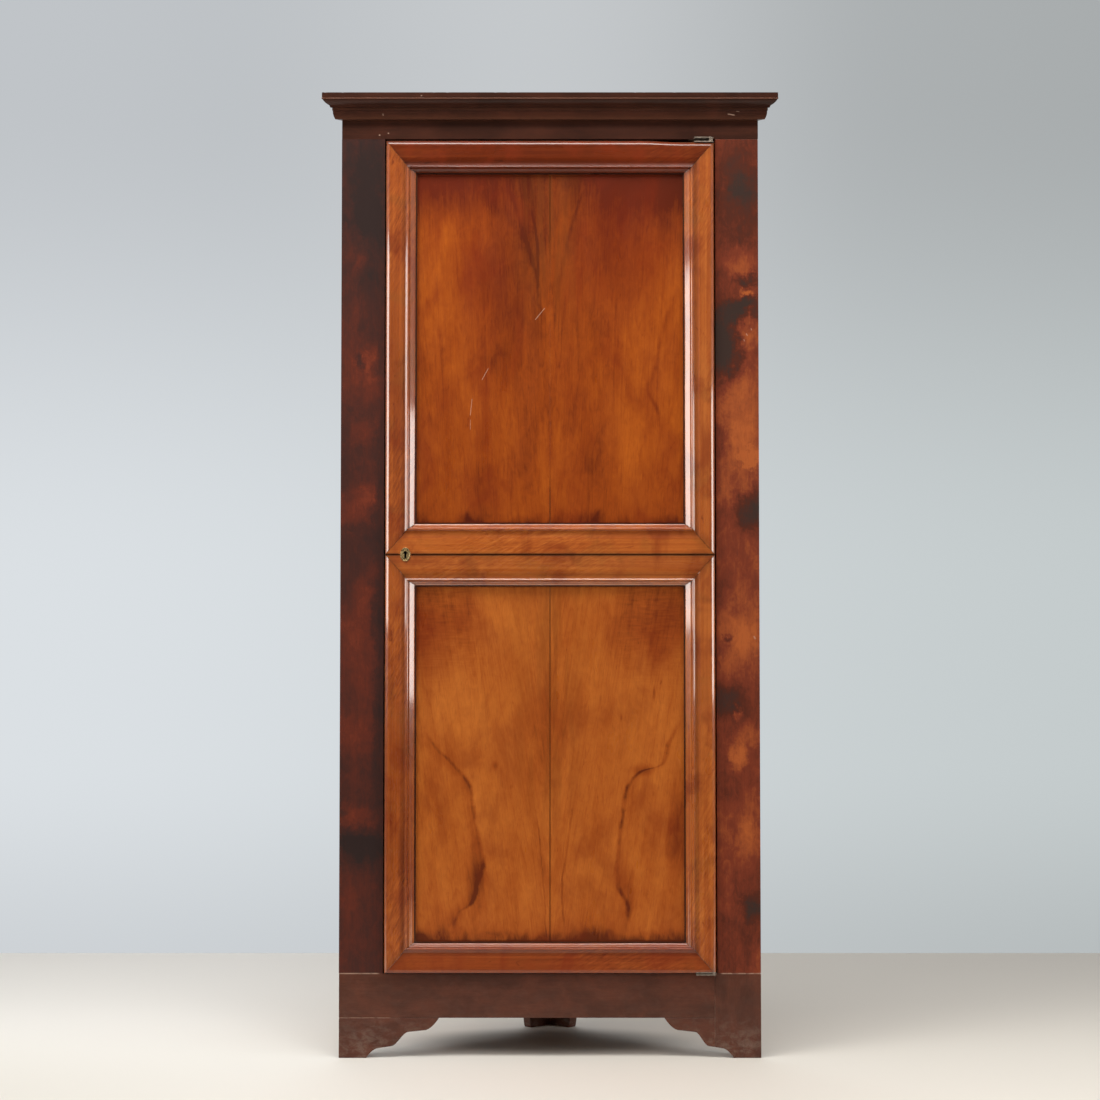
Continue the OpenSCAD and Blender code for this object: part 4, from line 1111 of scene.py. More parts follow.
def dress(node: str, material: bpy.types.Material, edge: float) -> None:
    """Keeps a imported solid, eases its edges and gives it its finish.

    Args:
        node: the solid's name.
        material: its material.
        edge: how wide its eased edges are.
    """
    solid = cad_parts[node]
    solid.data.materials.clear()
    solid.data.materials.append(material)
    modifier(solid, "WELD", merge_threshold=0.02 * MM)
    modifier(solid, "DECIMATE", decimate_type="DISSOLVE", angle_limit=math.radians(0.6))
    modifier(solid, "BEVEL", width=edge, segments=2, limit_method="ANGLE", angle_limit=math.radians(38),
             harden_normals=False, use_clamp_overlap=True)
    modifier(solid, "WEIGHTED_NORMAL", keep_sharp=False, weight=80)
    log.info("%s: dressed as %s", node, material.name)


def cut(target: bpy.types.Object, cutter: bpy.types.Object) -> None:
    """Cuts one closed mesh out of a piece for good.

    Args:
        target: the piece.
        cutter: what is cut out of it.
    """
    step = modifier(target, "BOOLEAN", operation="DIFFERENCE", solver="EXACT", object=cutter)
    solved = target.evaluated_get(bpy.context.evaluated_depsgraph_get())
    data = bpy.data.meshes.new_from_object(solved)
    target.modifiers.remove(step)
    target.data = data
    log.info("%s: cut to %d faces", target.name, len(data.polygons))


def eased(t: float) -> float:
    """Gives a level start and end to a share from 0 to 1."""
    return t * t * (3 - 2 * t)


def fading(distance: float, reach: float) -> float:
    """Gives 1 at a distance of 0, which falls evenly to 0 at the reach."""
    return max(0.0, 1 - distance / reach)


def arc(centre: Point, radius: float, start: float, end: float, count: int) -> list[Point]:
    """Gives points on an arc.

    Args:
        centre: the arc's centre.
        radius: its radius.
        start: its first angle, in degrees.
        end: its last angle.
        count: the number of steps.

    Returns:
        The points.
    """
    turns = [math.radians(start + (end - start) * i / count) for i in range(count + 1)]
    return [(centre[0] + radius * math.cos(a), centre[1] + radius * math.sin(a)) for a in turns]


def circle(count: int) -> list[Point]:
    """Gives the points of a circle of radius 1."""
    return arc((0.0, 0.0), 1.0, 0.0, 360.0, count)[:-1]


def bent(p: Point, pull: Point, q: Point, count: int) -> list[Point]:
    """Gives points on a curve that is pulled towards a third point.

    Args:
        p: the curve's start.
        pull: the point that pulls it.
        q: its end.
        count: the number of steps.

    Returns:
        The points.
    """
    shares = [i / count for i in range(count + 1)]
    return [tuple((1 - t) ** 2 * a + 2 * t * (1 - t) * k + t * t * b for a, k, b in zip(p, pull, q)) for t in shares]


def bridge(mesh: bmesh.types.BMesh, rows: Sequence[Sequence[bmesh.types.BMVert]], capped: bool = False) -> None:
    """Joins closed rows of vertices with faces; a row of one vertex is a tip.

    Args:
        mesh: the mesh that they are in.
        rows: the rows.
        capped: whether the first and the last row are closed with a face.
    """
    count = max(len(row) for row in rows)
    for first, second in zip(rows, rows[1:]):
        for j in range(count):
            k = (j + 1) % count
            around = ((first, j), (first, k), (second, k), (second, j))
            corners = dict.fromkeys(row[i % len(row)] for row, i in around)
            if len(corners) > 2:
                mesh.faces.new(list(corners))
    if capped:
        mesh.faces.new(rows[0])
        mesh.faces.new(list(reversed(rows[-1])))


def swept(section: Sequence[Point], shares: Sequence[float], spot: Callable[[float, float, float], Vector],
          dirt_wear_and_painted_light: Callable[[float, float, float], float]) -> bmesh.types.BMesh:
    """Runs a closed section along a length and closes both ends.

    Args:
        section: the section's points.
        shares: where it is set down, as shares of the length.
        spot: gives a vertex for a section point and a share of the length.
        dirt_wear_and_painted_light: gives how dark old polish and painted shade make it there, from 0 to 1, and below
            0 how pale rubbed polish and painted highlights make it.

    Returns:
        The mesh.
    """
    mesh = bmesh.new()
    layer = mesh.verts.layers.float.new("dirt_wear_and_painted_light")
    rows = []
    for t in shares:
        rows.append([mesh.verts.new(spot(u, h, t)) for u, h in section])
        for vert, (u, h) in zip(rows[-1], section):
            vert[layer] = dirt_wear_and_painted_light(u, h, t)
    bridge(mesh, rows, True)
    return mesh


def lathe(mesh: bmesh.types.BMesh, profile: Sequence[Point], base: Vector, axis: Vector, steps: int) -> None:
    """Turns a profile about an axis and adds it to a mesh.

    Args:
        mesh: the mesh that it is added to.
        profile: points of radius and distance along the axis, which begin and end on it.
        base: the place of distance 0.
        axis: the way of the axis.
        steps: the number of steps round it.
    """
    turn = axis.normalized().to_track_quat("Z", "Y").to_matrix()
    bridge(mesh, [[mesh.verts.new(base + turn @ Vector((radius * c, radius * s, along)))
                   for c, s in (circle(steps) if radius else ((0.0, 0.0),))] for radius, along in profile])


@dataclass
class DoorMoulding:
    """The heavy moulding round a panel: a round edge, a flat, a hollow, a bead and a reeded slope."""

    width: float = 65 * MM
    edge_h: float = 5 * MM
    edge_r: float = 9 * MM
    flat_end: float = 31 * MM
    flat_fall: float = 1 * MM
    flat_shares: tuple[float, ...] = (0.06, 0.2, 0.5, 0.8)
    bead_at: float = 46 * MM
    bead_r: float = 2.6 * MM
    bead_h: float = 12.2 * MM
    hollow_w: float = 4 * MM
    hollow_d: float = 1 * MM
    curve_foot: float = 3.1 * MM
    step_h: float = 4 * MM
    inner_h: float = 2.5 * MM
    inner_w: float = 3 * MM
    lip: float = 8.7 * MM
    back: float = -2.9 * MM
    reeds: int = 3
    reed_steps: int = 8
    reed_d: float = 0.26 * MM
    seam_r: float = 0.7 * MM
    joint: float = 0.85 * MM
    mitre_gap: float = 0.25 * MM
    mitre_ease: float = 0.1 * MM
    stations: int = 90
    ends: tuple[float, ...] = (0.0, 0.0006, 0.0013)
    unsteady: float = 0.22 * MM
    level: tuple[Point, ...] = (
        (0.0, 0.0), (31 * MM, 34 * MM), (46 * MM, 53 * MM), (62 * MM, 63.6 * MM), (65 * MM, 66 * MM))
    over: float = 3.4 * MM
    over_end: float = 24 * MM
    over_from: float = 190 * MM
    over_gone: float = 280 * MM
    line_dirt: float = 0.5
    line_w: float = 0.6 * MM
    # Darker towards each corner of a frame.
    corner_darkening: float = 0.22
    corner_w: float = 22 * MM
    # Painted shade on the sunk step at the panel and in the hollow before the bead.
    step_shade: float = 0.85
    hollow_shade: float = 0.30
    valley_at: float = 39 * MM
    valley_w: float = 8 * MM
    # Painted shade on the eased edges beside the dark joint of the two frames.
    joint_w: float = 2.4 * MM

    def levelled(self, u: float, over: float) -> float:
        """Moves a place on the section to where it lies on a level length, whose bead stands nearer the panel.

        Args:
            u: its distance from the outer edge on an upright length.
            over: how far the level length's outer edge stands out further.

        Returns:
            Its distance from the outer edge on the level length.
        """
        for (u0, v0), (u1, v1) in zip(self.level, self.level[1:]):
            if u <= u1:
                break
        return v0 + (v1 - v0) * (u - u0) / (u1 - u0) - over * fading(u, self.over_end)

    def section(self, seam: bool) -> list[Point]:
        """Draws the section.

        Args:
            seam: whether its outer edge meets the other frame's and is only eased.

        Returns:
            Points of distance from the outer edge and height over the door's frame.
        """
        w, top, round_r = self.width, self.edge_h + self.edge_r, self.seam_r if seam else self.edge_r
        hollow = (self.bead_at - self.bead_r - self.hollow_w, self.bead_h - self.hollow_d)
        points = [(0.0, 0.0), (0.0, self.edge_h * 0.5)]
        points += arc((round_r, top - round_r), round_r, 180, 90, 16)
        flat_w, pull = self.flat_end - round_r, (hollow[0] - 0.75 * self.hollow_w, hollow[1])
        points += [(round_r + share * flat_w, top - self.flat_fall * share) for share in self.flat_shares]
        points += bent((self.flat_end, top - self.flat_fall), pull, hollow, 8)
        points += arc((self.bead_at, self.bead_h), self.bead_r, 178, 12, 14)
        start = (self.bead_at + 1.2 * self.bead_r, self.bead_h - 0.6 * self.bead_r)
        run, fall = w - self.curve_foot - start[0], self.step_h - start[1]
        steps = self.reeds * self.reed_steps
        for t in (i / steps for i in range(steps + 1)):
            reed = self.reed_d * (abs(math.sin(math.pi * self.reeds * t)) ** 0.6 - 0.6)
            points.append((start[0] + run * t, start[1] + fall * eased(t) + reed))
        points += [(w - self.inner_w, self.step_h), (w - self.inner_w, self.inner_h), (w, self.inner_h)]
        points += [(w, self.back), (w - self.lip, self.back), (w - self.lip, 0.0)]
        return [(max(u, self.joint), h) for u, h in points] if seam else points

    def build(self, name: str, side: Side, low: Point, high: Point, floor: float, seed: float,
              finish: WoodFinish, seam: bool, over: float) -> bpy.types.Object:
        """Builds one mitred length in place of its solid.

        Args:
            name: the solid's name.
            side: the side of the frame.
            low: the frame's lower left corner, X and Z.
            high: the frame's upper right corner.
            floor: the height that nothing may go below.
            seed: sets this length's own unevenness.
            finish: its finish.
            seam: whether its outer edge meets the other frame's and is only eased.
            over: how far the frame's top length stands out over the door's own top edge.

        Returns:
            The piece.
        """
        box_low, box_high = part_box(name)
        face = box_high.y + self.back
        upright = side in (Side.LEFT, Side.RIGHT)
        first, last = (low[1], high[1]) if upright else (low[0], high[0])

        def spot(u: float, h: float, t: float) -> Vector:
            """Sets down one vertex of the moulding.

            Args:
                u: its distance from the outer edge.
                h: its height over the door's frame.
                t: its share of the length.

            Returns:
                Its place.
            """
            start = first + self.mitre_gap + (self.levelled(u, 0.0) if upright else u)
            end = last - self.mitre_gap - (self.levelled(u, over if side is Side.LEFT else 0.0) if upright else u)
            at = start + (end - start) * t
            shy = self.mitre_ease * fading(min(at - start, end - at), self.mitre_ease)
            wave = field_noise.noise(Vector((at * 7, u * 12 + seed, seed))) * self.unsteady if h > 1 * MM else 0.0
            fade = 1 - eased(min(1.0, max(0.0, (at - self.over_from) / (self.over_gone - self.over_from))))
            across = u if upright else self.levelled(u, over * fade if side is Side.TOP else 0.0)
            if 2 * MM < u < 60 * MM:
                across += field_noise.noise(Vector((at * 5, seed * 3, 4.0))) * self.unsteady
            y = max(face - h + wave + shy * 0.6, box_low.y) if h > 0 else face - h
            if upright:
                return Vector((low[0] + across if side is Side.LEFT else high[0] - across, y, max(at, floor)))
            return Vector((at, y, high[1] - across if side is Side.TOP else max(low[1] + across, floor)))

        def dirt_wear_and_painted_light(u: float, h: float, t: float) -> float:
            """Gives the dark lines in the mitres and a darkening towards the corners, with painted shade before the
            bead, on the step at the panel and on the eased edges at the joint of the two frames.

            Args:
                u: the distance from the outer edge.
                h: the height over the door's frame.
                t: the share of the length.

            Returns:
                How dark it is there, from 0 to 1.
            """
            off = min(t, 1 - t) * (high[1] - low[1])
            mitre = self.line_dirt * fading(off, self.line_w) + self.corner_darkening * fading(off, self.corner_w)
            # Painted shade on the sunk step at the panel.
            sunk = u > self.width - self.inner_w - 0.1 * MM and h < self.step_h + 0.1 * MM
            step = self.step_shade if sunk else 0.0
            # Painted shade in the hollow before the bead.
            hollow_shade_share = self.hollow_shade * eased(fading(abs(u - self.valley_at), self.valley_w))
            # The joint of the two frames is dark, and the eased edges beside it carry painted shade.
            joint = fading(u - self.joint, self.joint_w) if seam else 0.0
            return min(1.0, max(mitre, step, joint) + hollow_shade_share)

        mesh = swept(self.section(seam), self.shares(), spot, dirt_wear_and_painted_light)
        grain = Grain.UP if upright else Grain.ACROSS
        return piece(name + "_run", mesh, "door", finish.material(grain), "moulding_wood", name, 40.0)

    def shares(self) -> list[float]:
        """Spreads the stations along a length, with the first and the last ones close to the mitres.

        Returns:
            Their shares of the length.
        """
        inner = self.stations - 2 * len(self.ends) + 1
        middle = [self.ends[-1] + (1 - 2 * self.ends[-1]) * i / inner for i in range(1, inner)]
        return [*self.ends, *middle, *(1 - share for share in reversed(self.ends))]


@dataclass
class Escutcheon:
    """The oval brass plate of the keyhole, with its raised rim and two pins."""

    node: str = "keyhole_escutcheon"
    wide: float = 21 * MM
    high: float = 29 * MM
    rim_w: float = 2.4 * MM
    rim_h: float = 1.0 * MM
    rim_foot: float = 0.5 * MM
    plate_t: float = 0.15 * MM
    hollow_d: float = 0.35 * MM
    key_r: float = 3.7 * MM
    slot_w: float = 4.2 * MM
    slot_l: float = 11.5 * MM
    rise: float = 3.4 * MM
    pin_r: float = 0.9 * MM
    pin_in: float = 3.9 * MM
    inset: float = 0.4 * MM
    steps: int = 72

    def keyhole(self) -> list[Point]:
        """Draws the keyhole round the plate's middle, from the right end of its slot.

        Returns:
            Its points.
        """
        half = self.slot_w / 2
        turn = math.degrees(math.asin(half / self.key_r))
        foot = self.rise - self.slot_l
        ring = arc((0.0, self.rise), self.key_r, -90 + turn, 270 - turn, 40)
        return [(half, foot)] + ring + [(-half, foot)]

    def matched(self) -> list[Point]:
        """Gives points of the keyhole's edge at even angles round the plate's middle.

        Returns:
            The points, one for each step of the rim.
        """
        hole = self.keyhole()
        out = []
        for c, s in circle(self.steps):
            best = 0.0
            for (x0, z0), (x1, z1) in zip(hole, hole[1:] + hole[:1]):
                dx, dz = x1 - x0, z1 - z0
                cross = c * dz - s * dx
                if abs(cross) > 1e-12 and -1e-6 <= (x0 * s - z0 * c) / cross <= 1 + 1e-6:
                    best = max(best, (x0 * dz - z0 * dx) / cross)
            out.append((best * c, best * s))
        return out

    def cutter(self) -> bpy.types.Object:
        """Makes the oval that the plate's place in the mouldings is cut with.

        Returns:
            The oval, which is no piece of the cabinet.
        """
        low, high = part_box(self.node)
        centre, mesh = (low + high) / 2, bmesh.new()
        a, b = self.wide / 2 - self.inset, self.high / 2 - self.inset
        bridge(mesh, [[mesh.verts.new((centre.x + a * c, y, centre.z + b * s)) for c, s in circle(self.steps)]
                      for y in (low.y - 20 * MM, high.y + 10 * MM)], True)
        return stood("keyhole_cutter", mesh)

    def build(self) -> None:
        """Builds the plate as rings from its back round the rim and into the keyhole."""
        low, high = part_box(self.node)
        centre, mesh = (low + high) / 2, bmesh.new()
        plate_y = low.y + self.rim_h
        oval, hole = circle(self.steps), self.matched()
        a, b, inner = self.wide / 2, self.high / 2, self.rim_w + self.rim_foot
        rings = [(0.0, high.y, 0.0), (0.0, plate_y - self.rim_h * 0.2, 0.0)]
        rings += [(self.rim_w / 2 * (1 - math.cos(t)), plate_y - self.rim_h * (0.2 + 0.8 * math.sin(t)), 0.0)
                  for t in (math.radians(d) for d in range(20, 161, 20))]
        rings += [(self.rim_w, plate_y, 0.0), (inner, plate_y + self.plate_t, 0.0)]
        rings += [(inner, plate_y + self.plate_t - self.hollow_d * math.sin(math.pi * share * 0.6), share)
                  for share in (0.35, 0.7, 0.93)]
        rings += [(inner, plate_y + 2 * self.plate_t, 1.0), (inner, high.y, 1.0)]
        rows = [[mesh.verts.new((centre.x + (1 - share) * (a - inset) * c + share * hx, y,
                                 centre.z + (1 - share) * (b - inset) * s + share * hz))
                 for (c, s), (hx, hz) in zip(oval, hole)] for inset, y, share in rings]
        bridge(mesh, rows + rows[:1])
        piece(f"{self.node}_plate", mesh, "door", BRASS.material(), "escutcheon_brass", self.node, 50.0)
        pins, r = bmesh.new(), self.pin_r
        for z in (centre.z + b - self.pin_in, centre.z - b + self.pin_in):
            lathe(pins, ((0.0, -0.55 * MM), (0.6 * r, -0.4 * MM), (r, 0.0), (r, 2 * MM), (0.0, 2 * MM)),
                  Vector((centre.x, plate_y + 0.1 * MM, z)), Vector((0, 1, 0)), 16)
        piece(f"{self.node}_pins", pins, "door", BRASS.material(), "escutcheon_brass")


@dataclass
class SlottedScrews:
    """Countersunk wood screws with a slot, a thread and a point."""

    head_r: float = 3.6 * MM
    shank_r: float = 1.8 * MM
    head_t: float = 2 * MM
    rim: float = 0.1 * MM
    thread_l: float = 0.9 * MM
    point_l: float = 2 * MM
    slot_w: float = 0.9 * MM
    slot_d: float = 0.8 * MM

    def profile(self, length: float) -> list[Point]:
        """Draws a screw's half section.

        Args:
            length: its length.

        Returns:
            Points of radius and distance from the head's face.
        """
        r = self.shank_r
        points = [(0.0, 0.0), (self.head_r * 0.96, 0.0), (self.head_r, self.rim), (r, self.head_t)]
        at = self.head_t + 1 * MM
        while at < length - 3 * MM:
            points += [(r * 0.98, at), (r * 0.72, at + 0.4 * MM), (r * 0.98, at + 0.8 * MM)]
            at += self.thread_l
        return points + [(r * 0.7, length - self.point_l), (0.0, length - 0.1 * MM)]

    def screw(self, mesh: bmesh.types.BMesh, base: Vector, axis: Vector, length: float, turn: float) -> None:
        """Adds one screw whose head lies at its base.

        Args:
            mesh: the mesh that it is added to.
            base: the middle of the head's face.
            axis: the way in which it is driven.
            length: its length.
            turn: the angle of its slot.
        """
        one = bmesh.new()
        lathe(one, self.profile(length), Vector(), UP, 24)
        half, reach = self.slot_w / 2, self.head_r * 0.97
        for way in (1, -1):
            bmesh.ops.bisect_plane(one, geom=one.verts[:] + one.edges[:] + one.faces[:],
                                   plane_co=(way * half, 0, 0), plane_no=(way, 0, 0))
        faces = [f for f in one.faces if f.calc_center_median().z < 1e-6 and abs(f.calc_center_median().x) < half
                 and all(abs(v.co.x) <= half + 1e-7 and abs(v.co.y) <= reach for v in f.verts)]
        if faces:
            sunk = bmesh.ops.extrude_face_region(one, geom=faces)
            moved = [g for g in sunk["geom"] if isinstance(g, bmesh.types.BMVert)]
            bmesh.ops.translate(one, verts=moved, vec=(0, 0, self.slot_d))
            bmesh.ops.delete(one, geom=faces, context="FACES_ONLY")
        turned = axis.normalized().to_track_quat("Z", "Y").to_matrix().to_4x4()
        one.transform(Matrix.Translation(base) @ turned @ Matrix.Rotation(turn, 4, "Z"))
        data = bpy.data.meshes.new("screw")
        one.to_mesh(data)
        one.free()
        mesh.from_mesh(data)
        bpy.data.meshes.remove(data)

    def build(self, node: str, body: str, places: Sequence[tuple[Vector, Vector]], length: float,
              finish: MetalFinish, slot: str) -> None:
        """Builds the screws of one solid.

        Args:
            node: the solid that they stand for.
            body: the body that they move with.
            places: the middle of each head and the way in which it is driven.
            length: their length.
            finish: their metal.
            slot: the slot of their finish.
        """
        mesh = bmesh.new()
        for i, (base, axis) in enumerate(places):
            self.screw(mesh, base, axis, length, 0.5 + 1.9 * i)
        piece(node + "_slotted", mesh, body, finish.material(), slot, node, 30.0)


@dataclass
class Hinges:
    """The two pivot hinges: their leaves keep their solids, their screws are drawn in full."""

    leaves: tuple[str, ...] = ("top_frame_leaf", "bottom_frame_leaf", "top_door_leaf", "bottom_door_leaf")
    screw_left: float = 8 * MM
    screw_right: float = 14 * MM
    leaf_l: float = 52 * MM
    leaf_in: float = 2 * MM
    leaf_w: float = 14 * MM
    leaf_t: float = 2 * MM
    edge: float = 0.25 * MM
    screw_l: float = 12 * MM
    face_y: float = -198.25 * MM

    def build(self) -> None:
        """Dresses the leaves and drives the screws."""
        for leaf in self.leaves:
            dress(leaf, IRON.material(), self.edge)
        low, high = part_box("door_hinge_stile")
        y = self.face_y + self.leaf_in + self.leaf_w / 2
        xs = (high.x - self.leaf_l + self.screw_left, high.x - self.screw_right)
        head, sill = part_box("top_frame_leaf")[1].z - self.leaf_t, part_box("base_rail")[1].z
        for node, body, ends in (("frame_leaf_screws", "carcass", ((head, UP), (sill, DOWN))),
                                 ("door_leaf_screws", "door", ((high.z, DOWN), (low.z, UP)))):
            places = [(Vector((x, y, z)), way) for z, way in ends for x in xs]
            SlottedScrews().build(node, body, places, self.screw_l, IRON, "hinge_iron")


@dataclass
class Lock:
    """The box lock on the door, its keep in the stile and its escutcheon."""

    parts: tuple[str, ...] = ("lock_case", "lock_cap", "lock_bolt", "bolt_spring", "lock_keep")
    edge: float = 0.2 * MM
    screw_l: float = 14 * MM

    def build(self) -> None:
        """Dresses the lock, drives its screws and sets the escutcheon."""
        for part in self.parts:
            dress(part, STEEL.material(), self.edge)
        screws = SlottedScrews()
        for node, body, way in (("lock_screws", "door", 1), ("keep_screws", "carcass", -1)):
            low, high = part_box(node)
            x, y = low.x if way > 0 else high.x, (low.y + high.y) / 2
            ends = (low.z + screws.head_r, high.z - screws.head_r)
            places = [(Vector((x, y, z)), Vector((way, 0, 0))) for z in ends]
            screws.build(node, body, places, self.screw_l, STEEL, "lock_steel")
        Escutcheon().build()


@dataclass
class SeamFiller:
    """The old filler that closes the middle of the upper seam, which has only opened at its ends."""

    count: int = 60
    taper: int = 6
    sunk: float = 0.15 * MM
    end_sunk: float = 0.6 * MM
    ridge: float = 0.05 * MM
    back_in: float = 1 * MM
    wander: float = 0.1 * MM
    end_share: float = 0.15
    middle_share: float = 0.83

    def build(self) -> None:
        """Runs the filler up the seam."""
        low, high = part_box("upper_left_panel")
        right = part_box("upper_right_panel")[0]
        ends, last, mesh = UPPER_PANEL.closed, self.count - 1, bmesh.new()
        rows = []
        for i in range(self.count):
            z = ends[0] + (ends[1] - ends[0]) * i / last
            taper = min(1.0, i / self.taper, (last - i) / self.taper)
            middle = (high.x + right.x) / 2 + field_noise.noise(Vector((0.0, 3.0, z * 40))) * self.wander
            half = (right.x - high.x) / 2 * (self.end_share + self.middle_share * taper)
            face, back = low.y + self.sunk + self.end_sunk * (1 - taper), high.y - self.back_in
            rows.append([mesh.verts.new((middle + side * half, y, z)) for side, y in
                         ((-1, face), (0, face - self.ridge), (1, face), (1, back), (-1, back))])
        bridge(mesh, rows, True)
        piece("upper_seam_filler", mesh, "door", UPPER_PANEL.material(Grain.UP), "panel_wood")


@dataclass
class Door:
    """The door: its frame, the two book-matched panels, the mouldings, hinges and lock."""

    stiles: tuple[str, ...] = ("door_lock_stile", "door_hinge_stile")
    rails: tuple[str, ...] = ("door_top_rail", "door_middle_rail", "door_bottom_rail")
    foot_trim: float = 3 * MM
    edge: float = 0.8 * MM
    panel_edge: float = 0.12 * MM
    moulding: DoorMoulding = field(default_factory=DoorMoulding)

    def panels(self) -> None:
        """Dresses the boards of both panels."""
        for side in ("left", "right"):
            for row, finish in (("upper", UPPER_PANEL), ("lower", LOWER_PANEL)):
                dress(f"{row}_{side}_panel", finish.material(Grain.UP), self.panel_edge)

    def mouldings(self) -> None:
        """Runs the eight mitred lengths."""
        keyhole = Escutcheon().cutter()
        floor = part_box("lower_left_moulding")[0].z
        upper = ("upper", Side.BOTTOM, {Side.BOTTOM: MOULDING_SOFT, Side.TOP: MOULDING_RED}, 0.0, self.moulding.over)
        lower = ("lower", Side.TOP, {Side.BOTTOM: MOULDING_LOW}, self.foot_trim, 0.0)
        for seed, (row, seam, finishes, trim, over) in enumerate((upper, lower)):
            low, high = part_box(f"{row}_left_moulding")[0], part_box(f"{row}_right_moulding")[1]
            corners = ((low.x, low.z - trim), (high.x, high.z))
            for turn, side in enumerate(Side):
                run = self.moulding.build(f"{row}_{side.value}_moulding", side, *corners, floor,
                                          3.1 * seed + 1.7 * turn, finishes.get(side, MOULDING), side is seam, over)
                if side is seam:
                    cut(run, keyhole)
        bpy.data.objects.remove(keyhole)

    def build(self) -> None:
        """Builds the door."""
        for parts, grain in ((self.stiles, Grain.UP), (self.rails, Grain.ACROSS)):
            for part in parts:
                dress(part, DOOR_FRAME.material(grain), self.edge)
        self.panels()
        SeamFiller().build()
        self.mouldings()
        Hinges().build()
        Lock().build()


@dataclass
class Cornice:
    """The cornice: the crown with its cove and flat edge, over the bed moulding."""

    height: float = 51 * MM
    bed_h: float = 22.5 * MM
    bed_p: float = 19 * MM
    bed_foot: float = 13 * MM
    bed_band: float = 5.5 * MM
    crown_foot: float = 22.7 * MM
    crown_neck: float = 24.8 * MM
    crown_cove: float = 4.5 * MM
    crown_edge: float = 12.8 * MM
    crown_p: float = 39.5 * MM
    bead_r: float = 1.2 * MM
    quirk: float = 1.2 * MM
    stations: int = 360
    unsteady: float = 0.5 * MM
    nick_d: float = 2 * MM
    nick_limit: float = 0.38
    # Darker along the crown's top edge.
    top_edge_darkening: float = 0.65
    # Rubbed polish with a painted highlight on the crown's bead and on the bed's top edge.
    bead_rub_and_highlight: float = -0.32
    bed_edge_rub_and_highlight: float = -0.16
    # Painted reflection of the floor, lighter at the foot of the bed moulding.
    bed_foot_reflection: float = -0.15
    bed_face_w: float = 9 * MM

    def run(self, node: str, section: Sequence[Point], seed: float) -> None:
        """Runs one moulding between the two walls in place of its solid.

        Args:
            node: the solid's name.
            section: points of projection and height.
            seed: sets its own unevenness.
        """
        low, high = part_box(node)
        face, half, top = high.y, high.x - (high.y - low.y), high.z

        def spot(p: float, z: float, t: float) -> Vector:
            """Sets down one vertex of the moulding.

            Args:
                p: its projection.
                z: its height.
                t: its share of the length.

            Returns:
                Its place.
            """
            x = (half + p) * (2 * t - 1)
            inner = 1.0 if p > 2 * MM and 0.0 < t < 1.0 else 0.0
            wave = field_noise.noise(Vector((x * 4, seed, z * 20))) * self.unsteady
            chip = max(0.0, field_noise.noise(Vector((x * 110, seed, 9.0))) - self.nick_limit) * self.nick_d
            nick = chip if z > top - 2 * MM else 0.0
            return Vector((x, min(face, max(low.y, face - p + inner * (abs(wave) + nick * 0.6))), z - inner * nick))

        def dirt_wear_and_painted_light(p: float, z: float, t: float) -> float:
            """Gives a darkening along the top edge, and less than none where an edge is paler: rubbed polish with a
            painted highlight on the crown's bead and the bed's top edge, and a painted reflection at the foot of the
            bed.

            Args:
                p: the projection.
                z: the height.
                t: the share of the length.

            Returns:
                How dark it is there, from -1 to 1.
            """
            if p > self.bed_p + 1 * MM:
                bead = abs(z - (top - self.crown_edge)) < self.bead_r
                return self.top_edge_darkening if z > top - 1.4 * MM else self.bead_rub_and_highlight if bead else 0.0
            if z > top - 1 * MM:
                return self.bed_edge_rub_and_highlight
            face = fading(z - (top - self.bed_h), self.bed_face_w)
            return self.bed_foot_reflection * face if node == "cornice_bed" else 0.0

        mesh = swept(section, [i / (self.stations - 1) for i in range(self.stations)], spot, dirt_wear_and_painted_light)
        piece(node + "_run", mesh, "carcass", CORNICE.material(Grain.ACROSS), "cornice_wood", node, 28.0)

    def build(self) -> None:
        """Runs both mouldings."""
        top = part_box("cornice_crown")[1].z
        low, bed_top = top - self.height, top - self.height + self.bed_h
        foot, neck = (self.crown_foot, bed_top), (self.crown_neck, bed_top + self.crown_cove)
        edge = (self.crown_p - 1.1 * self.bead_r, top - self.crown_edge - self.bead_r)
        pull = (neck[0] + (edge[0] - neck[0]) * 0.55, neck[1] + (edge[1] - neck[1]) * 0.2)
        fascia = self.crown_p - 0.7 * self.bead_r
        self.run("cornice_crown", [
            (0.0, bed_top),
            *bent(foot, (self.crown_foot + 0.6 * MM, bed_top + self.crown_cove * 0.6), neck, 10),
            *bent(neck, pull, edge, 14),
            *arc((self.crown_p - self.bead_r, top - self.crown_edge), self.bead_r, -80, 75, 10),
            (fascia, top - self.crown_edge + 1.2 * self.bead_r), (fascia, top - 1.5 * MM),
            (fascia - 0.2 * MM, top - 1.2 * MM), (fascia - 0.6 * MM, top - 0.3 * MM),
            (fascia - 1.4 * MM, top), (0.0, top)], 2.0)
        band = (self.bed_p, bed_top - self.bed_band)
        pull = (self.bed_p - 1 * MM, low + (band[1] - low) * 0.45)
        self.run("cornice_bed", [
            (0.0, low), (self.bed_foot - 0.5 * MM, low),
            *bent((self.bed_foot, low), pull, (band[0] - self.quirk, band[1] - 0.6 * MM), 12),
            (band[0] - self.quirk, band[1]), band, (self.bed_p, bed_top - 0.4 * MM),
            (self.bed_p - 0.4 * MM, bed_top), (0.0, bed_top)], 6.0)


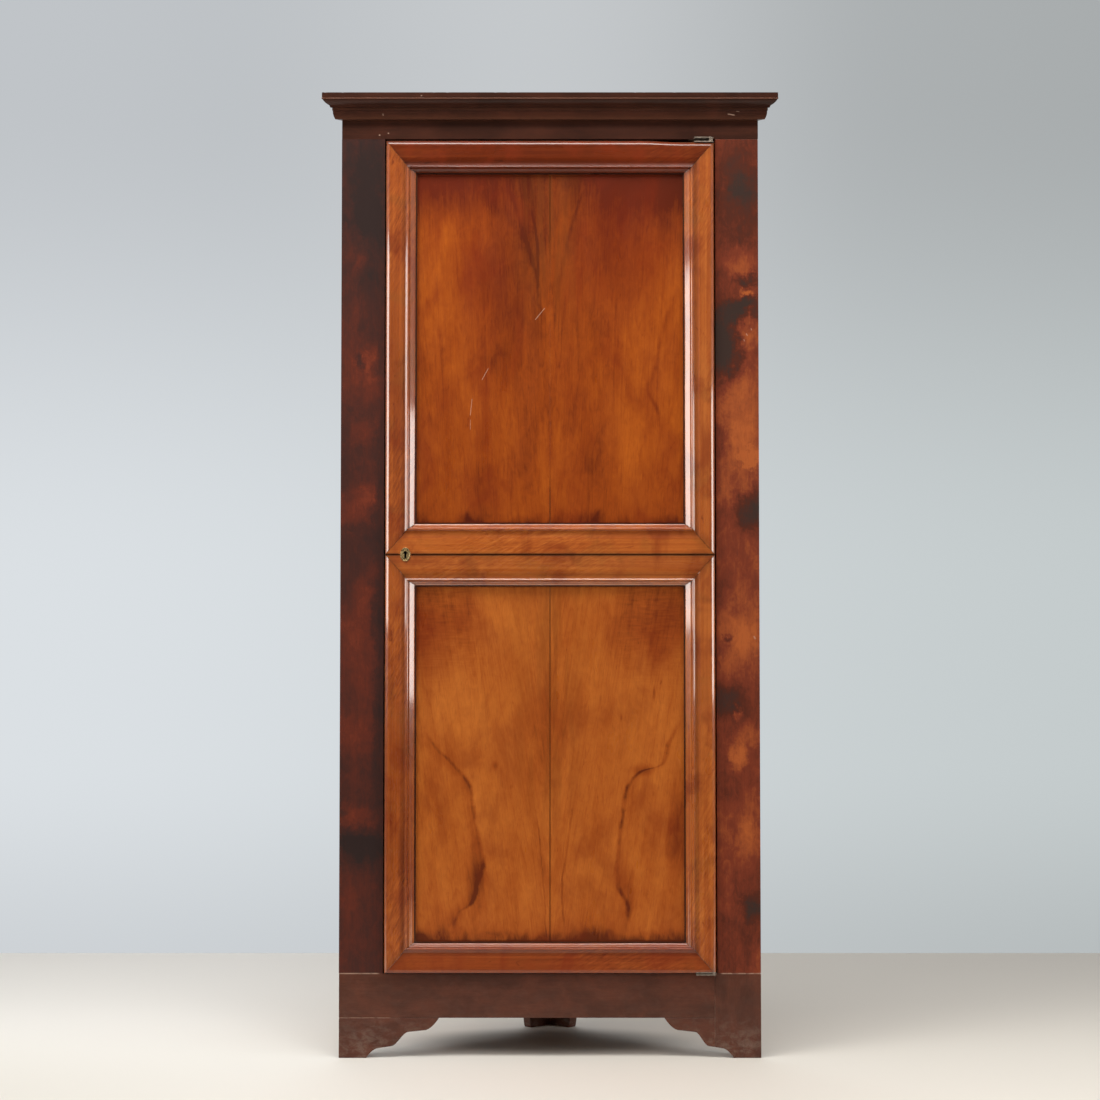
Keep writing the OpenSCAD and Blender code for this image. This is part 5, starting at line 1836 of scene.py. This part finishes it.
@dataclass
class Nails:
    """The hand-made nails that hold the wall boards to the battens, the top and the front."""

    radius: float = 2.6 * MM
    boards: int = 4
    shelves: tuple[str, ...] = ("floor_board", "lower_shelf", "middle_shelf", "upper_shelf")
    corner: Point = (0.436, -0.19825)
    under: float = 10 * MM
    top: float = 11 * MM
    first: float = 50 * MM
    last: float = 20 * MM
    stray: float = 6 * MM
    seed: int = 11

    def build(self) -> None:
        """Drives the nails of both walls."""
        rng = random.Random(self.seed)
        low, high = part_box("left_wall_boards")
        heights = [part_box(node)[0].z - self.under for node in self.shelves]
        heights.append(high.z - self.top)
        reach = (high.x - low.x) * math.sqrt(2) - self.first - self.last
        for name, side in (("left_wall_nails", -1), ("right_wall_nails", 1)):
            mesh = bmesh.new()
            outward, run = Vector((side, 1, 0)).normalized(), Vector((-side, 1, 0)).normalized()
            corner = Vector((side * self.corner[0], self.corner[1], 0.0))
            for board in range(self.boards):
                for share in (0.25, 0.75):
                    along = self.first + reach * (board + share) / self.boards
                    for z in heights:
                        shift = rng.uniform(-self.stray, self.stray)
                        base = corner + run * (along + shift) + UP * (z + rng.uniform(-self.stray, self.stray) / 2)
                        r = self.radius * rng.uniform(0.85, 1.15)
                        head = ((0.0, -0.5 * MM), (r * 0.45, -0.35 * MM), (r, 0.0))
                        lathe(mesh, (*head, (r * 0.4, 1.5 * MM), (0.0, 9 * MM)), base, -outward, 7)
            piece(name, mesh, "carcass", IRON.material(), "hinge_iron", "", 20.0)


@dataclass
class Carcass:
    """The three-cornered case: its front frame, feet, boarded walls, top, shelves and battens."""

    edge: float = 1.1 * MM
    finishes: tuple[tuple[WoodFinish, Grain, tuple[str, ...]], ...] = (
        (LEFT_STILE, Grain.UP, ("left_stile",)),
        (RIGHT_STILE, Grain.UP, ("right_stile",)),
        (CORNICE, Grain.ACROSS, ("frieze_rail",)),
        (BASE, Grain.ACROSS, ("base_rail", "left_foot_bracket", "right_foot_bracket")),
        (BASE, Grain.UP, ("right_corner_block",)),
        (BASE, Grain.LEFT_WALL, ("back_foot_left_wing",)),
        (BASE, Grain.RIGHT_WALL, ("back_foot_right_wing",)),
        (PINE, Grain.UP, ("left_wall_boards", "right_wall_boards", "back_post", "door_stop")),
        (PINE, Grain.ACROSS, ("top_boards", "floor_board", "lower_shelf", "middle_shelf", "upper_shelf",
                              "foot_glue_blocks")),
        (PINE, Grain.LEFT_WALL, ("left_battens",)),
        (PINE, Grain.RIGHT_WALL, ("right_battens",)),
    )

    def build(self) -> None:
        """Builds the case and its cornice."""
        for finish, grain, nodes in self.finishes:
            for node in nodes:
                dress(node, finish.material(grain), self.edge)
        Nails().build()
        Cornice().build()


@dataclass(frozen=True)
class Lamp:
    """A soft box: its place, what it faces, its width and height, its power and its tint."""

    name: str
    at: Triple
    aim: Triple
    size: Point
    watts: float
    tint: Triple = (1.0, 0.975, 0.925)

    def hang(self) -> None:
        """Hangs the soft box, which the camera doesn't see."""
        data = bpy.data.lights.new(self.name, "AREA")
        data.shape = "RECTANGLE"
        data.size, data.size_y = self.size
        data.energy, data.color = self.watts, self.tint
        lamp = bpy.data.objects.new(self.name, data)
        lamp.visible_camera = False
        lamp.location = self.at
        lamp.rotation_euler = (Vector(self.aim) - Vector(self.at)).to_track_quat("-Z", "Y").to_euler()
        bpy.context.scene.collection.objects.link(lamp)


@dataclass
class Studio:
    """The plain pale room: a floor, a wall behind the cabinet, soft lamps and the camera."""

    wall_y: float = 1.36
    half_width: float = 16.0
    wall_h: float = 9.0
    far_from: float = 2.3
    far_to: float = 4.2
    camera_y: float = -4.84825
    camera_z: float = 0.8563
    pitch: float = 2.361
    lens: float = 73.21
    sensor: float = 36.0
    air: float = 0.36
    front_air: float = 0.05
    front_dark: float = -0.95
    front_clear: float = -0.6
    dim_from: float = -1.2
    dim_to: float = -0.75
    pool_at: Triple = (-1.3, -0.75, 0.0)
    pool_scale: Triple = (0.5, 0.87, 0.0)
    painted_shadow_scale: Triple = (2.9, 5.2, 0.0)
    lamps: tuple[Lamp, ...] = (
        Lamp("left_box", (-2.1, -1.55, 1.5), (0.0, -0.2, 1.25), (2.4, 1.2), 35.6),
        Lamp("right_box", (2.1, -1.5, 1.15), (0.0, -0.2, 1.05), (2.0, 0.95), 24.4),
        Lamp("top_box", (-0.3, -1.5, 3.4), (0.0, -0.6, 0.5), (2.4, 0.8), 67.0),
        Lamp("back_box", (-0.5, 2.6, 2.7), (0.0, 0.0, 0.6), (2.5, 1.5), 20.0, (1.0, 1.0, 1.0)),
    )

    def sheet(self, sketch: MaterialSketch, first: Point, second: Point) -> bpy.types.Object:
        """Makes one flat sheet of the room, as wide as the room.

        Args:
            sketch: the drawing of its material, whose name it takes.
            first: the Y and Z of one long edge.
            second: the Y and Z of the other one.

        Returns:
            The sheet.
        """
        half, name = self.half_width, sketch.material.name
        data = bpy.data.meshes.new(name)
        data.from_pydata([(-half, *first), (half, *first), (half, *second), (-half, *second)], [], [(0, 1, 2, 3)])
        data.materials.append(sketch.material)
        made = bpy.data.objects.new(name, data)
        bpy.context.scene.collection.objects.link(made)
        return made

    def floor(self) -> None:
        """Lays the floor with painted light and shade on it, and makes it even far away."""
        sketch = MaterialSketch("studio_floor")
        where, y, middle = sketch.where, sketch.y, (0.0, 0.0, 0.0)
        camera = Number(sketch, sketch.put("ShaderNodeLightPath").outputs["Is Camera Ray"])
        # Painted shade that tones down the bright patch of the left lamps' light in front.
        pool_shade = sketch.reach(where, self.pool_at, self.pool_scale).between(0.0, 1.0, 1.0, 0.0)
        # Painted shadow under the cabinet.
        under = sketch.reach(where, middle, self.painted_shadow_scale).between(0.45, 1.0, 0.8, 0.0)
        # Painted shade on the floor in front, seen only by light that bounces off it.
        dim = (1.0 - camera) * y.between(self.dim_from, self.dim_to, 1.0, 0.0)
        # Painted light: lighter to the left, where the brighter lamp stands, and a little darker towards the back.
        colour = sketch.blend(sketch.x.between(-0.9, 0.35), shade(255, 252, 247), shade(232, 226, 217))
        for share, tint in ((pool_shade, shade(222, 218, 210)), (under, shade(120, 112, 104)),
                            (y.between(-1.6, 1.2) * 0.15, shade(214, 208, 200)), (dim, shade(52, 50, 48))):
            colour = sketch.blend(share, colour, tint)
        sketch.polish(colour, 0.75, specular=0.2)
        even = sketch.put("ShaderNodeEmission")
        sketch.fill(even, shade(206, 204, 200))
        away = sketch.reach(where, middle, (1.0, 1.0, 0.0)).between(self.far_from, self.far_to)
        sketch.feed(sketch.output.inputs[0], sketch.mixed(camera * away, sketch.shader.outputs[0], even.outputs[0]))
        self.sheet(sketch, (-self.half_width, 0.0), (self.half_width, 0.0))

    def wall(self) -> None:
        """Stands the wall, which shows only from its front, with painted light and shade on it."""
        sketch = MaterialSketch("studio_wall")
        x, z = sketch.x, sketch.z
        # Painted light: lighter on the left and high in the middle, greyer towards the top at the sides and at its
        # foot.
        sideways_light_falloff, up = x.between(-1.6, 1.8), z.between(1.0, 2.4)
        pale = sketch.blend(sideways_light_falloff, shade(219, 224, 228), shade(196, 203, 204))
        grey = sketch.blend(sideways_light_falloff, shade(192, 196, 200), shade(168, 172, 173))
        tone = sketch.blend(z.between(-0.1, 0.55, 0.55, 0.0), sketch.blend(up, pale, grey), grey)
        tone = sketch.blend(abs(x).between(0.0, 1.0, 0.3, 0.0) * up, tone, shade(226, 229, 232))
        sketch.polish(tone, 0.9, specular=0.1)
        even = sketch.put("ShaderNodeEmission")
        sketch.fill(even, tone)
        rays = sketch.put("ShaderNodeLightPath").outputs
        shown = sketch.maths("MAXIMUM", Number(sketch, rays["Is Camera Ray"]), Number(sketch, rays["Is Glossy Ray"]))
        seen = sketch.mixed(shown, sketch.shader.outputs[0], even.outputs[0])
        clear = sketch.put("ShaderNodeBsdfTransparent").outputs[0]
        back = Number(sketch, sketch.put("ShaderNodeNewGeometry").outputs["Backfacing"])
        sketch.feed(sketch.output.inputs[0], sketch.mixed(back, seen, clear))
        made = self.sheet(sketch, (self.wall_y, 0.0), (self.wall_y, self.wall_h))
        made.visible_shadow = made.visible_diffuse = False

    def soft_air(self) -> None:
        """Sets the room's own soft light, which is dim in front."""
        world = bpy.data.worlds.new("studio_air")
        world.use_nodes = True
        bpy.context.scene.world = world
        sketch, nodes = Sketch(world.node_tree), world.node_tree.nodes
        way = sketch.split(sketch.put("ShaderNodeTexCoord").outputs["Generated"])[1]
        power = way.between(self.front_dark, self.front_clear, self.front_air, self.air)
        air, seen = nodes["Background"], sketch.put("ShaderNodeBackground")
        sketch.fill(air, shade(226, 230, 234), power)
        sketch.fill(seen, shade(214, 219, 222))
        camera = Number(sketch, sketch.put("ShaderNodeLightPath").outputs["Is Camera Ray"])
        sketch.feed(nodes["World Output"].inputs[0], sketch.mixed(camera, air.outputs[0], seen.outputs[0]))

    def camera(self) -> None:
        """Stands the camera where the picture was taken from."""
        data = bpy.data.cameras.new("camera")
        data.lens, data.sensor_width = self.lens, self.sensor
        camera = bpy.data.objects.new("camera", data)
        camera.location = (0.0, self.camera_y, self.camera_z)
        camera.rotation_euler = (math.radians(90 + self.pitch), 0.0, 0.0)
        bpy.context.scene.collection.objects.link(camera)
        bpy.context.scene.camera = camera

    def build(self) -> None:
        """Builds the room."""
        self.floor()
        self.wall()
        for lamp in self.lamps:
            lamp.hang()
        self.soft_air()
        self.camera()
        bpy.context.scene.view_settings.view_transform = "Standard"
        log.info("room: %d soft boxes and the camera", len(self.lamps))


def main() -> None:
    """Builds the cabinet and its room."""
    logging.basicConfig(level=logging.INFO, format="%(name)s: %(message)s")
    Carcass().build()
    Door().build()
    Studio().build()


if __name__ == "__main__":
    main()
